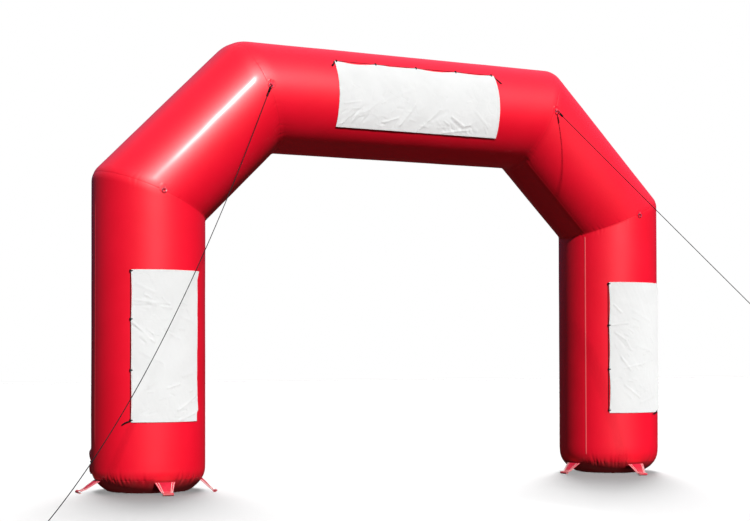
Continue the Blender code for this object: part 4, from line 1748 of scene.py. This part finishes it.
@dataclass
class Banner:
    """A sheet laced to the tube along one edge.

    Angles are in degrees from the front, and `low`, `high` and `ties` in metres along the axis. The laced
    edge draws in by `scallops` between two ties, and the free one by `drawn`, (along the axis, how far).
    `lacing_size` is the lacing's diameter and its distance from the cloth's edge.
    """

    name: str
    wall: Wall
    laced: float
    free: float
    low: float
    high: float
    flat: tuple[float, float]
    grid: tuple[int, int]
    ties: tuple[float, ...]
    scallops: tuple[float, ...]
    drawn: tuple[tuple[float, float], ...]
    stand_off: float
    crisp: float
    lacing_size: tuple[float, float]
    folds: tuple[Fold, ...]
    creases: tuple[Fold, ...]

    CLOTH = 0.0012
    CLEARANCE = 0.005
    SOLID_SHARE = 0.45
    DEEPEST = -0.004
    TIE_PULL = 0.0022
    TIE_LENGTH = 0.035
    TIE_REACH = 0.07
    # (metres across, metres along, height) of its slow waves
    WAVES = ((.31, .42, .0011), (.17, .23, .0007), (.09, .13, .0004))
    HEM = 0.028
    HEM_RISE = 0.0009
    STITCH_DEPTH = 0.0007
    LACING_LIFT = 0.0004
    EYELET_INSET = 0.016
    # (metres along from the tie, lean) of a tie's two turns, and the thickness of its cords
    TURNS = ((-.0036, .0012), (.0036, -.001))
    TURN_CORD = 0.0052
    KNOT_CORD = 0.0062
    TAIL_CORD = 0.0046

    @property
    def width(self) -> float:
        """From the laced edge to the free one."""
        return abs(math.radians(self.free - self.laced)) * TUBE_RADIUS

    def angle(self, share: Array, distance: Array) -> Array:
        """How far round the tube a point of the sheet lies.

        Args:
            share: Of the way from the laced edge to the free one.
            distance: Metres along the axis.

        Returns:
            Radians from the front.
        """
        pull = np.zeros_like(distance)
        for first, second, deep in zip(self.ties, self.ties[1:], self.scallops):
            inside = (distance >= first) & (distance <= second)
            pull = np.where(inside, deep * np.sin(np.pi * (distance - first) / (second - first)), pull)
        drawn = pull * np.maximum(0.0, 1 - share / 0.2) ** 2
        free_in = np.interp(distance, *zip(*self.drawn))
        drawn = drawn - free_in * np.maximum(0.0, (share - 0.7) / 0.3) ** 1.5
        laced, free = math.radians(self.laced), math.radians(self.free)
        return laced + (free - laced) * (share + drawn / self.width)

    def lift(self, share: Array, distance: Array) -> Array:
        """How far folds, creases and the free edge hold the sheet off the tube.

        Args:
            share: Of the way from the laced edge to the free one.
            distance: Metres along the axis.

        Returns:
            Metres.
        """
        height = self.stand_off * np.maximum(0.0, (share - 0.78) / 0.22) ** 2
        x, y = share * self.width, distance - self.low
        for fold in self.folds:
            height = np.maximum(height, self.SOLID_SHARE * fold.height * fold.near(x, y))
        for crease in self.creases:
            height = height + self.crisp * crease.height * crease.near(x, y)
        for k, (wide, long, size) in enumerate(self.WAVES):
            across, along = math.tau * x / wide, math.tau * y / long
            height = height + size * np.sin(across + k * 2.1 + len(self.name)) * np.sin(
                along + 1.3 * k + across / 2.3)
        for tie in self.ties:
            pull = bell(distance - tie, self.TIE_LENGTH) * np.exp(-x / self.TIE_REACH)
            height = height - self.TIE_PULL * pull
        return np.maximum(height, self.DEEPEST)

    def sheet(self, looks: Wardrobe) -> Thing:
        """Makes the cloth, hemmed all round and resting on the tube.

        Args:
            looks: The materials.

        Returns:
            The sheet.
        """
        columns, rows = self.grid
        shares, distances = np.meshgrid(np.linspace(0, 1, columns), np.linspace(self.low, self.high, rows))
        across = shares * self.width
        edge = np.minimum.reduce([across, (1 - shares) * self.width, distances - self.low,
                                  self.high - distances])
        hem = self.HEM_RISE * (1 - np.clip((edge - self.HEM) / 0.005, 0, 1))
        hem = hem - self.STITCH_DEPTH * bell(edge - self.HEM - 0.001, 0.004)
        radius = TUBE_RADIUS + self.CLEARANCE + self.lift(shares, distances) + hem
        angles = self.angle(shares, distances)
        outer, inner = (self.wall.spot(angles, distances, radius + cloth) for cloth in (self.CLOTH, 0.0))
        flat = np.stack([across, distances], -1)
        both = np.concatenate([flat, flat[:, ::-1], flat[:, :1]], 1)
        node = f"banner_{self.name}"
        points = np.concatenate([outer, inner[:, ::-1]], 1)
        piece = lattice(f"{node}_cloth", points, both, cyclic=True, sharp=60.0)
        self.close_ends(piece)
        rim = bell(edge, 0.018)
        mark(piece, "rim", np.concatenate([rim, rim[:, ::-1]], 1))
        return dress(piece, looks.sheet, "white_banner", node)

    def close_ends(self, piece: Thing) -> None:
        """Closes the sheet's two ends between its faces and turns its faces outward.

        Args:
            piece: The sheet.
        """
        columns, rows = self.grid
        shape = bmesh.new()
        shape.from_mesh(piece.data)
        shape.verts.ensure_lookup_table()
        for first in (0, (rows - 1) * columns * 2):
            last = first + 2 * columns - 1
            for k in range(columns - 1):
                corners = (first + k, first + k + 1, last - 1 - k, last - k)
                shape.faces.new([shape.verts[i] for i in corners]).smooth = False
        shape.to_mesh(piece.data)
        shape.free()
        turn_outward(piece.data)

    def lacing(self, looks: Wardrobe) -> list[Thing]:
        """Makes the cord beside the laced edge and the tie at each eyelet.

        Args:
            looks: The materials.

        Returns:
            The cord and the ties.
        """
        outward = math.copysign(1.0, self.laced - self.free)
        size, away = self.lacing_size
        low, high = self.ties[0], self.ties[-1]
        along = np.linspace(low - 0.012, high + 0.012, int((high - low) / 0.01))
        beside = math.radians(self.laced) + outward * away / TUBE_RADIUS
        path = self.wall.spot(np.full_like(along, beside), along,
                              np.full_like(along, SKIN_RADIUS + self.LACING_LIFT + size / 2))
        node = f"lacing_{self.name}"
        made = [dress(Cord(size, 10).follow(f"{node}_cord", path), looks.braid, "black_cord", node)]
        for number, distance in enumerate(self.ties):
            node = f"tie_{self.name}_{number}"
            tie = self.tie(f"{node}_wound", distance, outward, number)
            made.append(dress(tie, looks.braid, "black_cord", node))
        return made

    def tie(self, name: str, distance: float, outward: float, number: int) -> Thing:
        """Cord wound twice round the lacing and through the eyelet, and knotted on the cloth.

        Args:
            name: The piece's name.
            distance: Along the axis.
            outward: Which way the lacing lies from the cloth.
            number: Of the tie on its banner.

        Returns:
            The tie.
        """
        edge, share = math.radians(self.laced), np.array(self.EYELET_INSET / self.width)
        cloth = float(self.lift(share, np.array(distance))) + TUBE_RADIUS + self.CLEARANCE + self.CLOTH

        def spot(out: float, along: float, radius: float) -> Array:
            """A point this far beyond the cloth's edge, along the axis and out from it."""
            return self.wall.spot(edge + outward * out / TUBE_RADIUS, distance + along, radius)

        parts = []
        for row, lean in self.TURNS:
            loop = [spot(0.0015 + 0.0175 * math.cos(t), row + lean * math.cos(2 * t),
                         max(SKIN_RADIUS + 0.0026, cloth - 0.001 + 0.0062 * math.sin(t)))
                    for t in np.linspace(0, math.tau, 17)[:-1]]
            parts.append(Cord(self.TURN_CORD, 8).follow(f"{name}_loop", np.array(loop), closed=True))
        ball = [spot(0.006 + 0.0068 * math.cos(t), along, cloth + 0.006 + 0.0046 * math.sin(t))
                for t, along in zip(np.linspace(0, 2.6 * math.tau, 40), np.linspace(-0.0078, 0.0078, 40))]
        parts.append(Cord(self.KNOT_CORD, 8).follow(f"{name}_knot", np.array(ball)))
        tail = [spot(0.002, 0.004, cloth + 0.007), spot(0.01, 0.009 + 0.002 * (number % 2), cloth + 0.006),
                spot(0.017, 0.011, cloth + 0.001)]
        parts.append(Cord(self.TAIL_CORD, 8).follow(f"{name}_tail", curve_through(tail, 0.003)))
        return joined(name, parts)


@dataclass(frozen=True)
class Tail:
    """A loose end of two cords that lies on the tube, or on the cloth.

    `route` is (angle in degrees, along the axis, thickness as a share, off the tube) from its root.
    """

    node: str
    wall: Wall
    route: tuple[tuple[float, float, float, float], ...]

    SPACING = 0.004
    TURN_LENGTH = 0.06
    APART = 0.0034

    def build(self, looks: Wardrobe) -> Thing:
        """Makes the tail.

        Args:
            looks: The materials.

        Returns:
            The tail.
        """
        angles, distances, shares, off = (np.array(column) for column in zip(*self.route))
        spots = self.wall.spot(np.radians(angles), distances, SKIN_RADIUS + 0.001 + shares * 0.0065 + off)
        path = curve_through(spots, self.SPACING)
        swell = np.interp(np.linspace(0, 1, len(path)), np.linspace(0, 1, len(shares)), shares)
        away = unit(np.cross(np.gradient(path, axis=0), self.wall.out(math.radians(angles.mean()))))
        spin = np.linspace(0, 3.0 * math.tau * len(path) * self.SPACING / self.TURN_LENGTH, len(path))
        cord = Cord(0.008, 8, 2, 0.03, 0.12)
        parts = []
        for phase in (0.0, math.pi):
            side = away * (self.APART * np.cos(spin + phase))[:, None]
            parts.append(cord.follow(f"{self.node}_strand", path + side, swell))
        return dress(joined(f"{self.node}_cord", parts), looks.braid, "black_cord", self.node)


LEFT_BANNER = Banner(
    "left", LEGS[Side.LEFT], laced=34.6, free=-41.5, low=0.74, high=2.308, flat=(.8, 1.57),
    grid=(120, 216), ties=(.762, 1.274, 1.799, 2.294), scallops=(.005, .003, .006),
    drawn=((.74, .046), (.833, .046), (.852, .024), (.968, .03), (1.176, .043), (1.59, .036),
           (1.8, .033), (2.214, .036), (2.27, .016), (2.308, .004)),
    stand_off=0.004, crisp=2.5, lacing_size=(.0075, .007),
    folds=folds((.05, .96, .22, .78, .011), (.06, 1.2, .4, 1.17, .008), (.46, .1, .68, .19, .008),
                (.34, .32, .52, .37, .007)),
    creases=(
        *folds((.01, 1.03, .24, .82, .004, .012), (.04, 1.253, .4, 1.214, .003, .012),
               (.04, 1.19, .19, 1.2, -.003, .014), (.19, 1.232, .4, 1.173, .0032, .013),
               (.02, .99, .2, .87, -.003, .014), (.377, .35, .512, .39, .0034, .012),
               (.49, .122, .76, .272, .0036, .013), (.51, .02, .78, .093, .0036, .012),
               (.1, .72, .33, .6, .002, .018), (.28, .94, .5, .86, .0018, .02),
               (.5, 1.1, .74, 1.02, .0018, .022), (.08, .3, .26, .42, .0018, .02),
               (.55, .47, .76, .52, .002, .018), (.06, 1.42, .24, 1.33, .002, .018)),
        *crinkles(41, 16, (.03, .36), (.85, 1.35), -20.0), *crinkles(42, 9, (.05, .7), (.05, .45), 10.0),
        *crinkles(43, 8, (.3, .7), (.9, 1.45), -25.0)))
TOP_BANNER = Banner(
    "top", BEAM, laced=40.3, free=-34.0, low=-0.984, high=1.047, flat=(.8, 2.03), grid=(110, 240),
    ties=(-.958, -.477, .03, .543, 1.016), scallops=(.03, .014, .027, .016), drawn=((0.0, 0.0),),
    stand_off=0.003, crisp=1.9, lacing_size=(.0055, .006),
    folds=folds((.72, .06, .52, .2, .008), (.66, .6, .36, .78, .009), (.66, .9, .38, 1.12, .007),
                (.62, 1.3, .66, 1.62, .01)),
    creases=(
        *folds((.745, .042, .6, .196, .0042, .012), (.712, .18, .632, .213, .004, .01),
               (.7, .1, .58, .24, -.0032, .012), (.513, .066, .478, .245, .0032, .011),
               (.571, 1.408, .662, 1.567, .0058, .012), (.662, 1.567, .644, 1.655, .005, .011),
               (.6, 1.4, .7, 1.55, -.0034, .012), (.758, 1.32, .702, 1.669, .0044, .011),
               (.705, .771, .472, .927, .0042, .014), (.73, .7, .55, .8, -.0026, .014),
               (.747, 1.009, .504, 1.247, .004, .014), (.7, .52, .629, .73, .0036, .012),
               (.66, 1.1, .52, 1.34, -.0028, .016), (.6, .3, .44, .52, .0026, .018),
               (.5, 1.72, .66, 1.9, .0028, .016), (.42, .62, .3, .9, .0018, .022)),
        *crinkles(51, 16, (.56, .7), (.04, .34), 130.0), *crinkles(52, 22, (.6, .72), (.4, 1.9), 60.0),
        *crinkles(53, 14, (.6, .74), (1.2, 1.75), 70.0), *crinkles(54, 12, (.36, .6), (.2, 1.6), 120.0)))
RIGHT_BANNER = Banner(
    "right", LEGS[Side.RIGHT], laced=-33.5, free=43.5, low=0.735, high=2.302, flat=(.8, 1.57),
    grid=(120, 216), ties=(.767, 1.257, 1.784, 2.283), scallops=(.011, .007, .01), drawn=((0.0, 0.0),),
    stand_off=0.012, crisp=1.9, lacing_size=(.009, .0085),
    folds=folds((.06, 1.1, .24, .94, .01), (.12, .8, .24, .62, .009), (.16, .42, .46, .3, .008),
                (.1, 1.34, .4, 1.3, .007)),
    creases=(
        *folds((.033, 1.052, .227, 1.076, .0036, .012), (.068, .968, .2, .872, .0044, .012),
               (.2, .872, .264, .752, .0044, .012), (.137, .669, .262, .513, .0044, .012),
               (.1, .9, .19, .8, -.003, .013), (.186, .537, .471, .596, .0034, .014),
               (.184, .333, .386, .176, .004, .013), (.058, 1.292, .141, 1.208, .004, .012),
               (.05, .38, .18, .45, .0024, .014), (.36, .8, .62, .72, .0022, .02),
               (.3, 1.22, .56, 1.1, .002, .02), (.4, .12, .66, .2, .0022, .018)),
        *crinkles(61, 14, (.04, .34), (.62, 1.2), -40.0), *crinkles(62, 10, (.1, .5), (.2, .6), -35.0),
        *crinkles(63, 6, (.3, .62), (.6, 1.1), -20.0)))


@dataclass
class BannerSet:
    """The three banners, their lacing and its loose ends."""

    banners: tuple[Banner, ...] = (LEFT_BANNER, TOP_BANNER, RIGHT_BANNER)
    tails: tuple[Tail, ...] = (
        Tail("lacing_tail_left", LEGS[Side.LEFT], (
            (36.2, .75, .9, .001), (38.2, .745, 1.1, 0.0), (41.2, .732, 1.1, 0.0),
            (44.2, .712, .9, 0.0))),
        Tail("lacing_tail_top_low", BEAM, (
            (39.8, -.986, .9, 0.0), (37.0, -.996, 1.4, 0.0), (34.6, -1.01, 1.9, 0.0),
            (32.4, -1.032, 2.2, 0.0))),
        Tail("lacing_tail_top_high", BEAM, (
            (38.6, 1.05, .7, 0.0), (35.6, 1.062, .8, 0.0), (32.0, 1.086, 1.2, 0.0),
            (28.8, 1.112, 1.3, 0.0))),
        Tail("tie_right_4", LEGS[Side.RIGHT], (
            (37.8, .751, .8, .011), (35.4, .741, 1.1, .01), (32.4, .7255, 1.2, .008),
            (29.6, .7185, 1.1, .001), (27.0, .714, .8, 0.0))),
    )

    def build(self, looks: Wardrobe) -> list[Thing]:
        """Makes the banners, lacing and tails.

        Args:
            looks: The materials.

        Returns:
            The pieces.
        """
        made = []
        for banner in self.banners:
            cloth = banner.sheet(looks)
            made += [cloth, *banner.lacing(looks)]
        return made + [tail.build(looks) for tail in self.tails]


# ---- air sleeve ----


@dataclass
class AirSleeve:
    """The filling sleeve behind the left leg, folded down and tied off.

    `rings` is (out from the leg's axis, height, radius, tilt in degrees) along it.
    """

    turn: float = math.radians(145.0)
    rings: tuple[tuple[float, float, float, float], ...] = (
        (.6008, .345, .125, 0.0), (.65, .345, .125, 6.0), (.7, .34, .108, 20.0),
        (.73, .315, .062, 45.0), (.738, .285, .034, 70.0), (.738, .262, .034, 85.0),
        (.734, .238, .05, 92.0), (.722, .185, .058, 98.0), (.713, .152, .052, 100.0))
    pleats: int = 11

    LEG = LEGS[Side.LEFT]
    COLUMNS = 72
    WAIST = 0.034
    ROOT_RADIUS = 0.6002
    MEAN_RADIUS = 0.08
    RIM_WIDTH = 0.012
    TIE_TURNS = 3
    TIE_STEPS = 26
    TIE_CORD = 0.0062
    # Where the tie's middle turn lies, as in rings, and half the tie's length along the sleeve
    TIE_RING = (.7385, .2735, .0372, 78.0)
    TIE_HALF_LENGTH = 0.0065

    def ring(self, reach: float, height: float, radius: Array, tilt: float) -> Array:
        """A ring of points.

        Args:
            reach: Of its middle, out from the leg's axis.
            height: Of its middle, over the ground.
            radius: The radius at each point.
            tilt: In degrees. At none it stands upright, facing out from the leg.

        Returns:
            The points.
        """
        out = self.LEG.out(self.turn)
        aside = np.cross(out, UP)
        level = UP * math.cos(math.radians(tilt)) + out * math.sin(math.radians(tilt))
        turns = math.tau * np.arange(len(radius))[:, None] / len(radius)
        rim = aside * np.cos(turns) + level * np.sin(turns)
        return self.LEG.start + out * reach + UP * height + rim * radius[:, None]

    def build(self, looks: Wardrobe) -> list[Thing]:
        """Makes the sleeve, pleated where it is tied, and its tie.

        Args:
            looks: The materials.

        Returns:
            The pieces.
        """
        table = np.array(self.rings)
        line = curve_through(table[:, :3], 0.006)
        run, at = run_along(line), run_along(table[:, :3])
        tilts = np.interp(run / run[-1], at / at[-1], table[:, 3])
        turns = math.tau * np.arange(self.COLUMNS) / self.COLUMNS
        wave = np.abs(np.sin(self.pleats / 2 * turns + 0.4 * np.sin(3 * turns))) - 0.75
        rows = []
        for (reach, height, radius), along, tilt in zip(line, run, tilts):
            tight = min(1.0, (self.WAIST / radius) ** 1.5)
            slump = 0.03 * np.sin(2 * turns + 9 * along) * (1 - tight)
            rows.append(self.ring(reach, height, radius * (1 + 0.16 * tight * wave + slump), float(tilt)))
        away = rows[0] - self.LEG.start
        away[:, 2] = 0.0
        rows[0][:, :2] = (self.LEG.start + unit(away) * self.ROOT_RADIUS)[:, :2]
        flat = flat_cloth(np.append(turns, math.tau) * self.MEAN_RADIUS, run)
        sleeve = lattice("air_sleeve_cloth", np.array(rows), flat, cyclic=True, capped=True, sharp=75.0)
        mark(sleeve, "seam", bell(run - run[-1], self.RIM_WIDTH)[:, None] * np.ones(self.COLUMNS))
        dress(sleeve, looks.sleeve, "red_pvc", "air_sleeve")
        reach, height, radius, tilt = self.TIE_RING
        path = []
        for step in np.linspace(0, self.TIE_TURNS, self.TIE_TURNS * self.TIE_STEPS):
            rise = self.TIE_HALF_LENGTH * (step / self.TIE_TURNS - 0.5) * 2
            ring = self.ring(reach, height + rise, np.full(360, radius), tilt)
            path.append(ring[int((step % 1.0) * 360) % 360])
        tie = Cord(self.TIE_CORD, 8).follow("sleeve_tie_wound", np.array(path))
        return [sleeve, dress(tie, looks.braid, "black_cord", "sleeve_tie")]


# ---- the stage ----


@dataclass
class Stage:
    """The floor, the light and the camera. A lamp's place is (azimuth, height), in degrees."""

    eye: Point = (-7.848937, -15.376461, 1.361847)
    yaw: float = 0.458284
    pitch: float = 0.021852
    roll: float = -0.002353
    lens: float = 72.0067
    shift_up: float = 0.0904
    sun_place: tuple[float, float] = (-1.8, 35.4)
    sun_power: float = 5.2
    floor_light: float = 16.0

    # (name, middle's x, size, height, tone)
    FLOORS = (("floor_left", -80.0, 160.0, -0.001, (.2, .2, .2, 1.0)),
              ("floor_right", 80.0, 160.0, -0.001, (.2, .2, .2, 1.0)),
              ("floor_under", 0.0, 320.0, -0.004, (.045, .025, .025, 1.0)))
    # (azimuth, share of its lamps' heights, how wide they look, share of light from straight above)
    SHADED = ((162.0, 1.0, 28.0, .25), (145.0, .9, 18.0, .33))
    # (height, share of the light) of each floor's lamps
    LOWER_LAMPS = ((80.0, .17), (64.0, .27), (50.0, .29), (36.0, .27))
    # (share of the way up, tone) of the sky that shines and of the neutral one
    SKY = ((0.0, (.05, .03, .03)), (0.49, (.07, .05, .05)), (0.51, (.03, .03, .05)),
           (0.55, (.05, .05, .12)), (0.65, (.15, .19, .33)), (0.8, (.34, .43, .66)),
           (1.0, (.32, .39, .52)))
    GREYS = ((0.0, .02), (.49, .03), (.51, .04), (.65, .1), (1.0, .16))

    def camera(self) -> None:
        """Sets the camera at the arch's front, to its left."""
        level, rise = math.cos(self.pitch), math.sin(self.pitch)
        ahead = Vector((math.sin(self.yaw) * level, math.cos(self.yaw) * level, rise))
        right = Vector((math.cos(self.yaw), -math.sin(self.yaw), 0.0))
        above = right.cross(ahead)
        turned = right * math.cos(self.roll) + above * math.sin(self.roll)
        above = above * math.cos(self.roll) - right * math.sin(self.roll)
        data = bpy.data.cameras.new("camera")
        data.sensor_width, data.sensor_fit, data.lens = 36.0, "HORIZONTAL", self.lens
        data.shift_y, data.clip_end = self.shift_up, 200.0
        held = put("camera", data)
        turn = Matrix((turned, above, -ahead)).transposed().to_4x4()
        held.matrix_world = Matrix.Translation(self.eye) @ turn
        bpy.context.scene.camera = held

    def lamp(self, name: str, power: float, angle: float, azimuth: float, height: float,
             colour: Point) -> Thing:
        """Adds a far lamp.

        Args:
            name: Its name.
            power: Watts a square metre.
            angle: How wide it looks, in degrees.
            azimuth: Degrees from the front toward +X.
            height: Degrees over the horizon.
            colour: Its colour.

        Returns:
            The lamp.
        """
        data = bpy.data.lights.new(name, "SUN")
        data.energy, data.angle, data.color = power, math.radians(angle), colour
        made = put(name, data)
        a, h = math.radians(azimuth), math.radians(height)
        way = Vector((math.sin(a) * math.cos(h), -math.cos(a) * math.cos(h), math.sin(h)))
        made.rotation_mode = "QUATERNION"
        made.rotation_quaternion = way.to_track_quat("Z", "Y")
        return made

    def floor(self) -> list[Thing]:
        """Makes a plain pale floor for the camera, in halves, and a dull one that sends light back up.

        Returns:
            The three planes.
        """
        made = []
        for name, x, size, height, tone in self.FLOORS:
            bpy.ops.object.select_all(action="DESELECT")
            bpy.ops.mesh.primitive_plane_add(size=size, location=(x, 0.0, height))
            plane = bpy.context.active_object
            plane.name = name
            finish = Finish(name)
            finish.set(Base_Color=tone, Roughness=0.9, Specular_IOR_Level=0.0)
            plane.data.materials.append(finish.material)
            made.append(plane)
        for plane in made[:2]:
            plane.visible_diffuse = plane.visible_glossy = False
        made[2].visible_camera = False
        return made

    def band(self, n: Nodes, share: Socket, stops: Sequence[tuple[float, Point]]) -> Socket:
        """A colour that changes through these stops as the share goes from 0 to 1.

        Args:
            n: The nodes it joins.
            share: The share.
            stops: (share, colour), in order.

        Returns:
            The colour.
        """
        ramp = n.add("ValToRGB", {0: share})
        while len(ramp.color_ramp.elements) < len(stops):
            ramp.color_ramp.elements.new(0.5)
        for element, (place, tone) in zip(ramp.color_ramp.elements, stops):
            element.position, element.color = place, (*tone, 1.0)
        return ramp.outputs[0]

    def sky(self) -> None:
        """Pale sky over a dull skyline, neutral where it lights a surface, and white behind the arch."""
        world = bpy.data.worlds.new("sky")
        world.use_nodes = True
        world.node_tree.nodes.clear()
        n = Nodes(world.node_tree)
        height = n.add("SeparateXYZ", {0: n.add("TexCoord").outputs["Generated"]}).outputs[2]
        share = n.plus(n.times(height, 0.5), 0.5)
        blue = self.band(n, share, self.SKY)
        plain = self.band(n, share, [(place, (grey,) * 3) for place, grey in self.GREYS])
        ray = n.add("LightPath").outputs
        lit = n.add("Background", {0: n.blend(ray["Is Diffuse Ray"], blue, plain), 1: 1.0})
        white = n.add("Background", {0: (1.0, 1.0, 1.0, 1.0), 1: 1.0})
        mixed = n.add("MixShader", {0: ray["Is Camera Ray"], 1: lit.outputs[0], 2: white.outputs[0]})
        n.add("OutputWorld", {0: mixed.outputs[0]})
        bpy.context.scene.world = world

    def group(self, name: str, things: Iterable[Thing]) -> bpy.types.Collection:
        """A collection of these things, outside the scene.

        Args:
            name: Its name.
            things: What is in it.

        Returns:
            The collection.
        """
        made = bpy.data.collections.new(name)
        for thing in sorted(things, key=lambda thing: thing.name):
            made.objects.link(thing)
        return made

    def build(self, pieces: Sequence[Thing]) -> None:
        """Sets the floor, the light and the view.

        Args:
            pieces: The arch's pieces, of which the banners have lamps of their own.
        """
        *floors, under = self.floor()
        self.sky()
        cloths = [thing for thing in pieces if thing.name.startswith("banner")]
        feet = [thing for thing in pieces if thing.name.startswith(("leg", "base"))]
        groups = {name: self.group(name, things) for name, things in (
            ("arch", pieces), ("cloths", cloths), ("feet", feet),
            ("reds", [under, *(set(pieces) - set(cloths))]), *((floor.name, [floor]) for floor in floors))}
        warm, plain = (1.0, .985, .96), (1.0, 1.0, 1.0)
        # (name, power, how wide, place, colour, what it lights, what shades it)
        lamps = [
            ("sun", self.sun_power, 2.5, self.sun_place, warm, "reds", "arch"),
            ("ground_bounce", 0.22, 120.0, (-5.0, -70.0), (1.0, .8, .8), "reds", "arch"),
            ("banner_sun", 1.1, 2.5, self.sun_place, plain, "cloths", "arch"),
            ("banner_fill", 6.5, 160.0, (-15.0, -38.0), (.985, 1.0, 1.0), "cloths", "arch"),
        ]
        for floor, (azimuth, lower, wide, straight) in zip(floors, self.SHADED):
            lit = floor.name
            lamps.append((f"{lit}_open", self.floor_light * straight, 10.0, (0.0, 90.0), plain, lit, ""))
            for height, share in self.LOWER_LAMPS:
                power = self.floor_light * (1.0 - straight) * share / math.sin(math.radians(height * lower))
                place = (azimuth, height * lower)
                lamps.append((f"{lit}_{len(lamps)}", power, wide, place, plain, lit, "feet"))
        for name, power, angle, place, colour, lit, shade in lamps:
            lamp = self.lamp(name, power, angle, *place, colour)
            lamp.light_linking.receiver_collection = groups[lit]
            if shade:
                lamp.light_linking.blocker_collection = groups[shade]
            lamp.data.use_shadow = bool(shade)
        bpy.context.scene.view_settings.view_transform = "Standard"


def main() -> None:
    """Builds the arch in order."""
    logging.basicConfig(level=logging.INFO, format="%(name)s: %(message)s")
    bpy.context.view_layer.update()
    bpy.ops.object.select_all(action="DESELECT")
    stage = Stage()
    stage.camera()
    looks = Wardrobe()
    ropes = (
        GuyRope(Side.LEFT, (-5.0, -3.6, .0105), 0.42, 0.25, 5.92, "hanging"),
        GuyRope(Side.RIGHT, (3.4, -4.95, .0105), 0.01, 0.0, 6.05, "taut"),
    )
    pieces = [piece for rope in ropes for piece in rope.build(looks)]
    swing = math.radians(8.0)
    plumb = np.array((0.0, -math.sin(swing), -math.cos(swing)))
    pulls = {f"top_{rope.side.value}": rope.pull() for rope in ropes}
    for name in BARS:
        pieces += RingMount(name, pulls.get(name, plumb)).build(looks)
    for part in (AirTube(), AnchorTabs(), BannerSet(), AirSleeve()):
        pieces += part.build(looks)
    stage.build(pieces)
    LOG.info("%d pieces", len(pieces))


if __name__ == "__main__":
    main()
